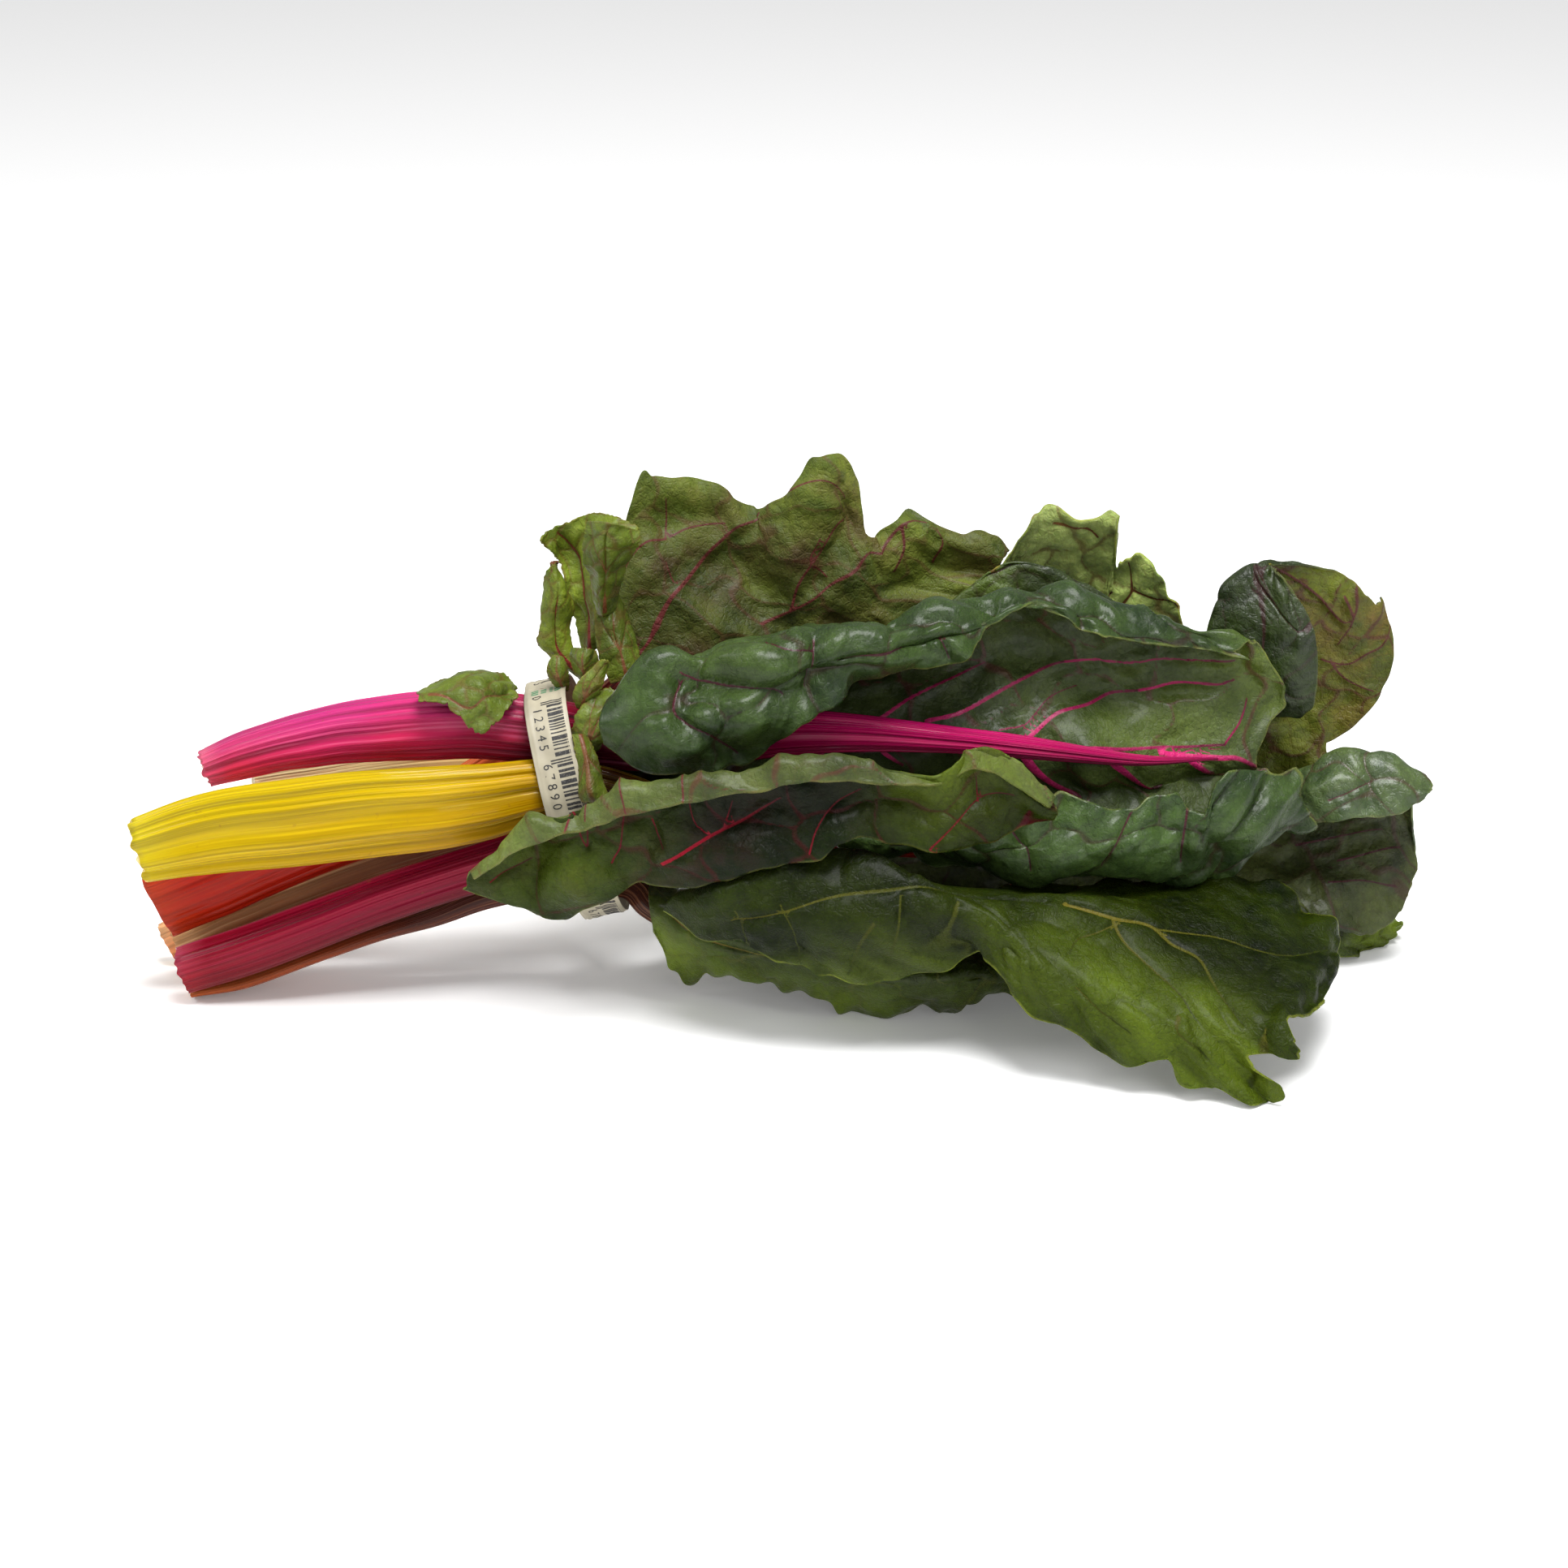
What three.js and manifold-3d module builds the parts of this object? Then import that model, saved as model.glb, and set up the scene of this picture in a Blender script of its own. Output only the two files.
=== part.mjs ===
// Swiss chard bunch: eight leaves of different colours, lying on their side and held together by
// a paper twist tie. Every leaf is a ribbed stalk that tapers into the midrib of a thin blade.
//
// Millimetres, +Z up, +X from the cut stalk ends to the leaf tips, -Y towards the side on which
// the pink midrib shows. The origin is under the middle of the bunch, on the surface it lies on.
//
// A blade is laid out by rails: hand-placed lines that run from the stalk to the tip, listed from
// one edge of the blade to the other, all with the same number of points. A stalk is laid out by
// a route of [x, y, z, height, depth], where height and depth are its section at that point.

import * as THREE from 'three';
import { mergeVertices } from 'three/addons/utils/BufferGeometryUtils.js';
import Module from 'manifold-3d';

const wasm = await Module();
wasm.setup();

// Driving dimensions
const BLADE_THICKNESS = 1.0;
const SMALL_BLADE_THICKNESS = 0.8;
const BLADE_STEP = 8.5;            // length of one blade facet, about
const SMALL_BLADE_STEP = 5;
const STALK_SIDES = 10;
const STALK_STEP = 11;            // length of one stalk facet, about
const STALK_ROUNDNESS = 0.8;      // 1 is an ellipse, lower values are boxier
const TIE_WIDTH = 10.4;
const TIE_THICKNESS = 0.8;
const TIE_CENTRE = new THREE.Vector3(-50.6, 0, 49);
const TIE_LEAN = THREE.MathUtils.degToRad(14);   // its top leans towards the stalk ends
const TIE_CORNERS = 44;
const TIE_TAIL_WIDTH = 5;
const TIE_TAIL_TWISTS = 2.5;

const bunch = new THREE.Group();

function addPiece(name, geometry, colour, roughness) {
  const material = new THREE.MeshStandardMaterial({ color: colour, roughness, metalness: 0 });
  const mesh = new THREE.Mesh(geometry, material);
  mesh.name = name;
  bunch.add(mesh);
  return mesh;
}

function smoothLine(points) {
  const vectors = points.map((point) => new THREE.Vector3(...point));
  return new THREE.CatmullRomCurve3(vectors, false, 'catmullrom', 0.5);
}

// The smooth sheet through a blade's rails: u runs from stalk to tip, v from rail to rail.
function sheetThrough(rails) {
  const lines = rails.map(smoothLine);
  const across = new Map();
  return function pointAt(u, v) {
    if (!across.has(u)) {
      const points = lines.map((line) => line.getPoint(u));
      across.set(u, new THREE.CatmullRomCurve3(points, false, 'catmullrom', 0.5));
    }
    return across.get(u).getPoint(v);
  };
}

function clampUnit(value) {
  return Math.min(1, Math.max(0, value));
}

function sheetNormal(pointAt, u, v) {
  const nudge = 0.004;
  const along = pointAt(clampUnit(u + nudge), v).sub(pointAt(clampUnit(u - nudge), v));
  const across = pointAt(u, clampUnit(v + nudge)).sub(pointAt(u, clampUnit(v - nudge)));
  return along.cross(across).normalize();
}

// A thin slab bent to the sheet. What would dip under the surface lies flat on it instead.
function bladeGeometry(rails, thickness, step) {
  const pointAt = sheetThrough(rails);
  const middleRail = rails[Math.floor(rails.length / 2)];
  const middleStops = rails.map((rail) => rail[Math.floor(rail.length / 2)]);
  const segmentsAlong = Math.round(smoothLine(middleRail).getLength() / step);
  const segmentsAcross = Math.max(
    Math.round(smoothLine(middleStops).getLength() / step),
    2 * (rails.length - 1),
  );
  const slab = new THREE.BoxGeometry(1, 1, 1, segmentsAlong, segmentsAcross, 1);
  const place = slab.getAttribute('position');
  for (let i = 0; i < place.count; i += 1) {
    const u = place.getX(i) + 0.5;
    const v = place.getY(i) + 0.5;
    const side = Math.sign(place.getZ(i));
    const normal = sheetNormal(pointAt, u, v);
    const point = pointAt(u, v);
    const liesFlat = point.z < thickness / 2;
    point.addScaledVector(normal, side * thickness / 2);
    if (liesFlat) {
      point.z = normal.z * side > 0 ? thickness : 0;
    }
    place.setXYZ(i, point.x, point.y, Math.max(point.z, 0));
  }
  return slab;
}

// A rod with an oval section bent along the route: height is upright, depth is along Y.
function stalkGeometry(route) {
  const line = smoothLine(route.map((stop) => stop.slice(0, 3)));
  const section = smoothLine(route.map(([, , , height, depth]) => [height, depth, 0]));
  const segments = Math.round(line.getLength() / STALK_STEP);
  const rod = new THREE.CylinderGeometry(1, 1, 1, STALK_SIDES, segments);
  const place = rod.getAttribute('position');
  for (let i = 0; i < place.count; i += 1) {
    const t = place.getY(i) + 0.5;
    const forward = line.getTangent(t);
    const deep = new THREE.Vector3(0, 1, 0);
    deep.addScaledVector(forward, -forward.y).normalize();
    const upright = new THREE.Vector3().crossVectors(forward, deep);
    const size = section.getPoint(t);
    const bulge = (value) => Math.sign(value) * Math.abs(value) ** STALK_ROUNDNESS;
    const point = line.getPoint(t);
    point.addScaledVector(upright, bulge(place.getX(i)) * size.x / 2);
    point.addScaledVector(deep, bulge(place.getZ(i)) * size.y / 2);
    place.setXYZ(i, point.x, point.y, Math.max(point.z, 0));
  }
  return rod;
}

const leaves = [];
const leaflets = [];

// Pink leaf: the largest, on its edge with its underside outwards. Its upper margin rolls over in a
// broad puckered flap and its lower margin turns up in a lip.
leaves.push({
  name: 'pink',
  stalkColour: 0xc22659,
  bladeColour: 0x44522f,
  route: [
    [-141.5, -2, 58, 9, 8], [-132.5, -3, 61.5, 11, 9], [-121, -4, 65, 12.5, 10],
    [-107, -5, 68, 14.5, 11], [-91, -6, 70, 16, 12], [-74, -6, 70.5, 16.5, 12],
    [-55, -6, 68.5, 15, 12], [-42.5, -11.5, 68.5, 14, 9], [-26.5, -14.5, 68.5, 13.5, 8],
    [3.5, -13, 71, 13, 7], [35.5, -10, 68.5, 8, 6], [59, -7, 65, 6.5, 5], [86.5, -2, 60, 4, 4],
    [107, 3, 58.5, 2.5, 2.5],
  ],
  rails: {
    rollEdge: [
      [-43, -27, 73], [-32, -31, 67], [-17, -31, 68], [4, -29, 80], [23, -20, 87], [42, -14, 89],
      [60, -6, 100], [80, -2, 91], [100, 4, 87], [116, 8, 82],
    ],
    rollFront: [
      [-44, -28, 79], [-32, -32, 81], [-17, -33, 85], [5, -30, 94], [23, -22, 96], [42, -14, 97],
      [60, -5, 102], [80, 0, 94], [100, 5, 89], [116, 9, 84],
    ],
    rollCrest: [
      [-42, -20, 82], [-32, -20, 92], [-17, -20, 96], [5, -16, 99], [23, -10, 100], [42, -2, 100],
      [60, 6, 101], [80, 8, 96], [101, 10, 90], [117, 12, 85],
    ],
    upperFace: [
      [-42, -4, 72], [-31, -4, 77], [-13, -2, 79], [7, 2, 81], [26, 6, 82], [45, 9, 82],
      [65, 12, 82], [85, 13, 75], [105, 14, 73], [125, 14, 71],
    ],
    midribLine: [
      [-42, -3, 63], [-31, -6, 64], [-13, -9, 68], [7, -8, 69], [27, -6, 67], [46, -4, 65],
      [67, -1, 61], [87, 2, 58], [107, 6, 57], [122, 10, 57],
    ],
    trough: [
      [-42, -4, 59], [-31, -6, 55], [-12, -6, 53], [8, -5, 51], [28, -4, 49], [48, -2, 49],
      [68, 0, 49], [87, 2, 49], [107, 5, 51], [123, 9, 53],
    ],
    lipBottom: [
      [-41, -8, 56], [-30, -9, 50], [-11, -10, 46], [9, -12, 44], [29, -17, 41], [48, -21, 38],
      [67, -21, 37], [86, -20, 37], [107, -16, 36], [128, -4, 46],
    ],
    lipFront: [
      [-41, -11, 57], [-29, -13, 51], [-10, -16, 48], [10, -20, 47], [29, -26, 46], [49, -31, 46],
      [67, -32, 46], [86, -31, 46], [106, -26, 46], [130, -10, 50],
    ],
    lipEdge: [
      [-41, -10, 59], [-30, -12, 54], [-11, -15, 52], [9, -19, 52], [28, -24, 54], [48, -27, 56],
      [66, -28, 59], [85, -27, 57], [105, -23, 62], [126, -9, 61],
    ],
  },
});

// Yellow leaf: the lowest at the front. Its blade stands in a mound beside the stalks, then spreads
// face up to a lobed tip on the surface.
leaves.push({
  name: 'yellow',
  stalkColour: 0xd7b42d,
  bladeColour: 0x4f5f2c,
  route: [
    [-156, -24, 44.5, 16, 8], [-138, -24, 49, 20, 9], [-119.5, -24, 51.5, 21.5, 10],
    [-101, -23, 53.5, 21.5, 10], [-87, -22, 54.5, 20.5, 10], [-73.5, -20, 55.5, 18.5, 9.5],
    [-54.5, -17, 58, 14, 9], [-38.5, -20, 56.5, 12, 8], [-22.5, -24, 52, 10, 7],
    [-3, -28, 48, 8, 6], [18.5, -31, 44, 6, 5],
  ],
  rails: {
    nearEdge: [
      [-29, -34, 33], [-13, -42, 26], [8, -47, 22], [26, -49, 22], [45, -50, 29], [53, -60, 23],
      [70, -66, 13], [88, -71, 7], [114, -76, -1],
    ],
    nearFace: [
      [-28, -36, 36], [-11, -46, 37], [9, -52, 38], [28, -54, 38], [46, -53, 38], [59, -60, 31],
      [76, -66, 23], [94, -71, 15], [117, -74, 8],
    ],
    crest: [
      [-26, -36, 38], [-8, -43, 46], [15, -41, 51], [30, -47, 47], [46, -49, 41], [62, -50, 36],
      [80, -55, 29], [98, -63, 22], [118, -75, 15],
    ],
    midribLine: [
      [-25, -33, 38], [-7, -36, 41], [15, -36, 43], [32, -40, 42], [49, -40, 40], [68, -41, 39],
      [86, -43, 34], [103, -52, 26], [120, -72, 18],
    ],
    farFace: [
      [-23, -29, 36], [-4, -29, 37], [18, -31, 35], [36, -31, 35], [56, -31, 35], [79, -28, 34],
      [101, -27, 33], [118, -38, 26], [126, -64, 18],
    ],
    farEdge: [
      [-21, -26, 34], [-2, -23, 32], [21, -24, 30], [39, -22, 33], [60, -19, 34], [88, -15, 33],
      [114, -13, 34], [134, -18, 25], [132, -48, 16],
    ],
  },
});

// Magenta leaf: stands in front of the pink one, its left lobe outside the tie and its upper margin
// turned over.
leaves.push({
  name: 'magenta',
  stalkColour: 0xa12743,
  bladeColour: 0x3f4c27,
  route: [
    [-148.5, -12, 8.5, 11, 10], [-131.5, -13, 14.5, 11.5, 10], [-112.5, -13, 22, 11, 10],
    [-93.5, -13, 29.5, 11, 10], [-72.5, -13, 36.5, 11, 10], [-54.5, -14, 42.5, 12, 10],
    [-46, -15, 42, 10.5, 9], [-38, -20, 43, 9.5, 8], [-25.5, -31, 47.5, 8, 6],
    [-11, -36.5, 52, 6.5, 5], [6.5, -38, 56, 5, 4], [26, -38, 59, 3.5, 3],
  ],
  rails: {
    turnedEdge: [
      [-74, -39, 43], [-61, -42, 52], [-44, -44, 58], [-26, -46, 64], [-7, -47, 68], [13, -48, 71],
      [33, -46, 69], [47, -43, 72], [63, -38, 60],
    ],
    crest: [
      [-75, -37, 44], [-62, -39, 56], [-44, -40, 63], [-26, -42, 68], [-6, -43, 72], [13, -44, 75],
      [33, -42, 72], [49, -40, 77], [64, -36, 62],
    ],
    upperFace: [
      [-76, -36, 42], [-61, -37, 50], [-44, -39, 55], [-25, -41, 59], [-5, -42, 62], [15, -43, 65],
      [34, -42, 64], [50, -40, 67], [65, -36, 60],
    ],
    lowerFace: [
      [-76, -36, 40], [-60, -38, 43], [-43, -40, 46], [-24, -43, 50], [-4, -45, 54], [16, -46, 58],
      [35, -44, 58], [50, -41, 59], [65, -36, 59],
    ],
    lowerEdge: [
      [-77, -35, 39], [-60, -37, 34], [-43, -39, 37], [-23, -42, 42], [-3, -46, 47], [17, -48, 51],
      [35, -46, 52], [50, -42, 53], [64, -36, 57],
    ],
  },
});

// Coral leaf: lies behind and under the pink one. Its tip rolls over beyond the pink tip.
leaves.push({
  name: 'coral',
  stalkColour: 0xb8503a,
  bladeColour: 0x3c4530,
  route: [
    [-155, -5, 23, 18, 7], [-136.5, -5, 31, 18, 7], [-116.5, -5, 40, 18, 7], [-97, -5, 46, 17, 7],
    [-79, -4, 48.5, 16.5, 7], [-55.5, -3, 50, 16, 7], [-33.5, 3, 44.5, 13, 6],
    [-3, 8, 38.5, 11, 6], [37.5, 11, 34, 9, 5], [68, 12, 33, 7, 5], [88.5, 12, 33.5, 5, 4],
    [109, 14, 33, 3, 3],
  ],
  rails: {
    nearEdge: [
      [21, 7, 40], [67, 6, 42], [87, 5, 43], [104, 5, 42], [120, 6, 42], [132, 2, 42],
      [143, 0, 44], [152, 0, 45], [158, 3, 48],
    ],
    nearFace: [
      [21, 9, 41], [68, 9, 43], [88, 8, 44], [104, 9, 45], [120, 12, 46], [132, 6, 51],
      [143, 4, 53], [153, 4, 52], [160, 6, 50],
    ],
    rollCrest: [
      [21, 13, 40], [68, 13, 42], [88, 13, 43], [104, 15, 45], [121, 17, 48], [131, 15, 53],
      [140, 13, 57], [150, 12, 56], [159, 10, 52],
    ],
    innerFace: [
      [21, 17, 34], [68, 17, 36], [89, 18, 36], [105, 20, 37], [122, 22, 38], [134, 22, 39],
      [146, 20, 40], [155, 18, 37], [158, 16, 35],
    ],
    farFace: [
      [21, 18, 26], [68, 18, 28], [89, 19, 27], [105, 20, 27], [122, 20, 27], [136, 18, 27],
      [148, 16, 27], [155, 15, 27], [159, 15, 26],
    ],
    lowerEdge: [
      [21, 17, 18], [58, 16, 15], [85, 15, 15], [107, 14, 17], [123, 13, 21], [135, 10, 18],
      [146, 10, 15], [154, 12, 16], [159, 13, 20],
    ],
  },
});

// Tan leaf: folded lengthwise behind the pink one. Its tip stands up in two round lobes.
leaves.push({
  name: 'tan',
  stalkColour: 0xa6623c,
  bladeColour: 0x3a4424,
  route: [
    [-151.5, 3, 8, 10, 6], [-135.5, 4, 15, 11, 6], [-115, 5, 23, 11, 6], [-94.5, 6, 30, 11.5, 6],
    [-74, 7.5, 36, 12, 6], [-56, 9, 42, 12, 6], [-33.5, 15, 45.5, 11, 6], [-3.5, 20, 51.5, 9, 5],
    [37.5, 25, 56.5, 7, 4], [68.5, 27, 58, 5.5, 4], [93, 29, 58.5, 4, 3],
  ],
  rails: {
    nearEdge: [
      [31, 20, 66], [45, 20, 67], [60, 21, 67], [76, 22, 66], [92, 22, 66], [104, 23, 65],
      [120, 22, 63], [131, 20, 64], [133, 20, 75], [131, 22, 88], [124, 26, 98],
    ],
    nearFace: [
      [30, 20, 73], [44, 21, 77], [59, 21, 79], [76, 22, 77], [92, 24, 73], [104, 25, 70],
      [114, 22, 70], [122, 20, 74], [126, 20, 81], [126, 22, 89], [123, 28, 99],
    ],
    fold: [
      [33, 23, 82], [43, 24, 94], [57, 25, 103], [71, 26, 98], [88, 27, 88], [103, 29, 78],
      [107, 30, 87], [110, 31, 94], [116, 32, 99], [120, 33, 100], [123, 34, 99],
    ],
    innerFace: [
      [32, 27, 73], [45, 29, 78], [59, 31, 82], [74, 32, 80], [91, 33, 73], [103, 35, 68],
      [118, 38, 73], [128, 39, 80], [134, 40, 87], [138, 40, 92], [140, 40, 95],
    ],
    farFace: [
      [32, 29, 61], [45, 31, 63], [59, 33, 63], [75, 34, 62], [91, 35, 61], [106, 37, 58],
      [123, 39, 57], [135, 40, 61], [143, 41, 69], [149, 42, 77], [149, 42, 87],
    ],
    farEdge: [
      [32, 30, 52], [46, 32, 51], [61, 33, 51], [76, 35, 51], [93, 36, 51], [108, 38, 51],
      [127, 38, 53], [140, 38, 50], [152, 40, 62], [155, 42, 75], [151, 43, 88],
    ],
  },
});

// Orange leaf: stands behind the rest, with its underside forwards and tall lobes on its top edge.
leaves.push({
  name: 'orange',
  stalkColour: 0xc8673f,
  bladeColour: 0x4a5228,
  route: [
    [-155.5, 13, 5, 12, 6], [-130, 14, 17.5, 14, 6], [-105, 13.5, 31, 14, 6],
    [-92.5, 12.5, 38.5, 14, 6], [-80, 11, 46, 14, 6], [-68, 10, 54, 14, 6],
    [-56, 9, 60.5, 13.5, 6], [-46.5, 14, 66.5, 11, 6], [-39, 20, 72.5, 8, 5],
    [-32.5, 23, 78, 5, 3.5],
  ],
  rails: {
    topEdge: [
      [-42, 32, 101], [-36, 36, 120], [-31, 38, 121], [-20, 40, 119], [-13, 41, 115],
      [-6, 42, 109], [4, 38, 117], [11, 36, 127], [18, 37, 120], [21, 39, 107], [31, 42, 111],
      [42, 43, 106], [51, 44, 105], [57, 43, 100],
    ],
    upperFace: [
      [-43, 31, 94], [-36, 34, 108], [-30, 36, 108], [-19, 37, 107], [-12, 38, 104], [-4, 37, 101],
      [5, 34, 108], [12, 33, 114], [18, 34, 109], [23, 36, 100], [31, 39, 103], [42, 41, 100],
      [50, 41, 100], [55, 41, 98],
    ],
    middle: [
      [-42, 28, 87], [-36, 30, 94], [-30, 32, 94], [-19, 33, 94], [-11, 33, 92], [-3, 33, 91],
      [5, 32, 94], [13, 31, 98], [19, 33, 95], [24, 35, 91], [32, 37, 93], [41, 38, 94],
      [49, 39, 95], [54, 39, 96],
    ],
    lowerFace: [
      [-41, 26, 82], [-35, 27, 84], [-29, 28, 85], [-18, 29, 85], [-11, 30, 84], [-3, 31, 84],
      [6, 31, 85], [13, 32, 86], [19, 33, 86], [24, 34, 85], [32, 36, 86], [41, 37, 88],
      [49, 38, 90], [53, 38, 94],
    ],
    lowerEdge: [
      [-39, 24, 77], [-34, 25, 75], [-28, 26, 74], [-18, 28, 73], [-11, 30, 73], [-2, 31, 73],
      [7, 32, 74], [13, 33, 75], [20, 33, 76], [25, 34, 77], [33, 35, 77], [41, 36, 80],
      [48, 37, 85], [53, 37, 92],
    ],
  },
});

// Cream leaf: the back of the bunch, its underside outwards and its foot on the surface.
leaves.push({
  name: 'cream',
  stalkColour: 0xc9a14a,
  bladeColour: 0x4c5a2c,
  route: [
    [-131.5, 8, 49, 12, 5], [-114.5, 13, 50, 13, 6], [-94.5, 17.5, 51.5, 13, 6],
    [-74.5, 18.5, 52.5, 13, 6], [-56.5, 17.5, 54, 13, 6], [-45, 18.5, 52.5, 12.5, 6],
    [-36, 25.5, 52, 12, 6], [-28, 33, 50.5, 11.5, 6], [-12, 47.5, 47, 10.5, 6],
    [12, 61.5, 41, 9, 5.5], [38, 67.5, 37, 7, 5], [62, 69.5, 33, 5.5, 4.5], [85, 69.5, 31, 4, 4],
  ],
  rails: {
    topEdge: [
      [-32, 25, 66], [-14, 42, 84], [10, 50, 92], [35, 50, 94], [57, 47, 98], [69, 46, 107],
      [82, 46, 107], [86, 46, 96], [94, 46, 93], [99, 47, 84], [104, 50, 66],
    ],
    upperFace: [
      [-33, 21, 58], [-14, 41, 68], [10, 54, 72], [35, 58, 73], [56, 58, 74], [67, 56, 77],
      [77, 56, 77], [86, 55, 73], [95, 54, 69], [104, 53, 63], [114, 52, 52],
    ],
    midribLine: [
      [-34, 19, 50], [-14, 39, 48], [12, 56, 42], [38, 63, 38], [58, 66, 35], [68, 66, 33],
      [78, 66, 32], [87, 66, 32], [96, 65, 32], [107, 63, 32], [122, 58, 33],
    ],
    lowerFace: [
      [-32, 20, 41], [-12, 41, 31], [12, 58, 24], [38, 66, 17], [58, 69, 14], [69, 70, 13],
      [80, 70, 12], [90, 70, 12], [99, 69, 12], [108, 67, 13], [118, 62, 18],
    ],
    floorEdge: [
      [-29, 23, 33], [-8, 46, 16], [14, 62, 5], [40, 72, 0], [60, 75, 0], [72, 76, 0], [84, 76, 0],
      [93, 76, 0], [101, 74, 0], [109, 71, 2], [116, 66, 10],
    ],
  },
});

// Rust leaf: under all the others. Its stalk is broad and flat and its blade lies on the surface.
leaves.push({
  name: 'rust',
  stalkColour: 0x9c4a2c,
  bladeColour: 0x3d4a20,
  route: [
    [-147, -5, 2, 3.5, 16], [-133, -5, 5, 4.5, 16], [-113.5, -5, 12.5, 5, 15],
    [-99, -4, 17.5, 5.5, 14], [-87, -4, 21, 6.5, 13], [-73.5, -3, 26, 8, 12],
    [-53.5, -2, 30, 9, 11], [-39, -3, 28.5, 8, 9], [-33, -6, 24, 7.5, 9], [-27, -9, 21, 7, 9],
    [-18, -13, 18.5, 6.5, 9], [0, -18, 17, 5.5, 8], [17, -21, 16, 5, 7], [39, -20, 13.5, 4, 6],
  ],
  rails: {
    nearEdge: [
      [-32, -16, 20], [-23, -8, 3], [-3, -9, 0], [16, -19, 0], [39, -20, 0], [61, -12, 1],
      [87, -12, 1], [116, -6, 2], [142, 14, 1], [155, 24, 1],
    ],
    nearFace: [
      [-33, -17, 28], [-23, -20, 19], [-3, -27, 17], [16, -33, 15], [38, -33, 14], [60, -22, 10],
      [87, -14, 7], [116, -4, 5], [143, 16, 4], [157, 28, 4],
    ],
    midribLine: [
      [-33, -10, 31], [-20, -15, 26], [-1, -19, 22], [17, -21, 20], [39, -20, 17], [61, -14, 14],
      [88, -6, 11], [117, 6, 8], [142, 22, 6], [156, 32, 5],
    ],
    farFace: [
      [-32, -3, 29], [-17, 6, 21], [1, 12, 14], [19, 14, 10], [42, 14, 8], [65, 16, 6],
      [90, 20, 4], [119, 28, 2], [141, 36, 3], [154, 42, 4],
    ],
    farEdge: [
      [-31, 6, 25], [-16, 30, 13], [3, 44, 5], [22, 50, 0], [46, 54, -2], [69, 56, -2],
      [95, 58, -3], [121, 58, -3], [140, 56, -2], [152, 52, 1],
    ],
  },
});

// A leaflet that droops over the pink stalk beside the tie.
leaflets.push({
  name: 'small_leaf',
  bladeColour: 0x6f7a3a,
  rails: {
    farEdge: [
      [-89, -10, 80], [-83, -8, 83], [-74, -6, 84], [-68, -5, 83], [-65, -4, 79],
    ],
    middle: [
      [-88, -14, 81], [-81, -15, 83], [-73, -16, 84], [-69, -13, 82], [-65, -8, 80],
    ],
    nearEdge: [
      [-88, -16, 80], [-81, -19, 80], [-74, -20, 73], [-69, -17, 75], [-64, -11, 80],
    ],
  },
});

// A torn narrow leaflet that stands up behind the tie.
leaflets.push({
  name: 'curly_leaf_front',
  bladeColour: 0x6b6e2e,
  rails: {
    leftEdge: [
      [-51, 9, 78], [-58, 9, 84], [-61, 9, 87], [-59, 9, 93], [-59, 9, 103], [-56, 8, 108],
    ],
    midribLine: [
      [-50, 6, 79], [-55, 6, 85], [-56, 6, 89], [-56, 6, 95], [-55, 6, 102], [-56, 8, 108],
    ],
    rightEdge: [
      [-49, 9, 78], [-52, 9, 85], [-52, 10, 90], [-51, 10, 95], [-53, 10, 100], [-55, 9, 107],
    ],
  },
});

// A curled leaflet between the torn one and the orange leaf.
leaflets.push({
  name: 'curly_leaf_back',
  bladeColour: 0x6b6e2e,
  rails: {
    leftEdge: [
      [-50, 16, 83], [-53, 18, 94], [-55, 19, 103], [-57, 17, 107], [-60, 13, 112],
    ],
    leftFace: [
      [-49, 15, 83], [-50, 17, 94], [-52, 19, 104], [-53, 20, 109], [-55, 19, 114],
    ],
    fold: [
      [-48, 14, 83], [-48, 15, 94], [-49, 16, 104], [-49, 18, 111], [-47, 19, 117],
    ],
    rightFace: [
      [-47, 14, 83], [-46, 13, 94], [-45, 12, 105], [-44, 13, 112], [-41, 16, 117],
    ],
    rightEdge: [
      [-46, 14, 84], [-43, 11, 94], [-40, 10, 104], [-37, 11, 110], [-35, 14, 115],
    ],
  },
});

for (const leaf of leaves) {
  addPiece(`${leaf.name}_stalk`, stalkGeometry(leaf.route), leaf.stalkColour, 0.4);
  const blade = bladeGeometry(Object.values(leaf.rails), BLADE_THICKNESS, BLADE_STEP);
  addPiece(`${leaf.name}_leaf`, blade, leaf.bladeColour, 0.5);
}
for (const leaflet of leaflets) {
  const blade = bladeGeometry(Object.values(leaflet.rails), SMALL_BLADE_THICKNESS, SMALL_BLADE_STEP);
  addPiece(leaflet.name, blade, leaflet.bladeColour, 0.5);
}

// Twist tie: a flat paper band with two wires inside, wound once round the stalks. Its ends are
// twisted together behind the bunch. The loop is listed as [y, z] and leans with the stalks.
const tieLoop = [
  [-4, 80], [-13, 78], [-20, 70], [-25, 57], [-23, 40], [-16, 26], [-4, 20],
  [9, 22], [18, 33], [23, 48], [22, 61], [15, 73], [6, 79],
];

function solidFrom(geometry) {
  const bare = geometry.clone();
  bare.deleteAttribute('normal');
  bare.deleteAttribute('uv');
  const merged = mergeVertices(bare, 1e-4);
  const vertProperties = Float32Array.from(merged.getAttribute('position').array);
  const triVerts = Uint32Array.from(merged.getIndex().array);
  return new wasm.Manifold(new wasm.Mesh({ numProp: 3, vertProperties, triVerts }));
}

function geometryFrom(solid) {
  const mesh = solid.getMesh();
  const geometry = new THREE.BufferGeometry();
  geometry.setAttribute('position', new THREE.BufferAttribute(mesh.vertProperties, 3));
  geometry.setIndex(new THREE.BufferAttribute(mesh.triVerts, 1));
  geometry.computeVertexNormals();
  return geometry;
}

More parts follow.
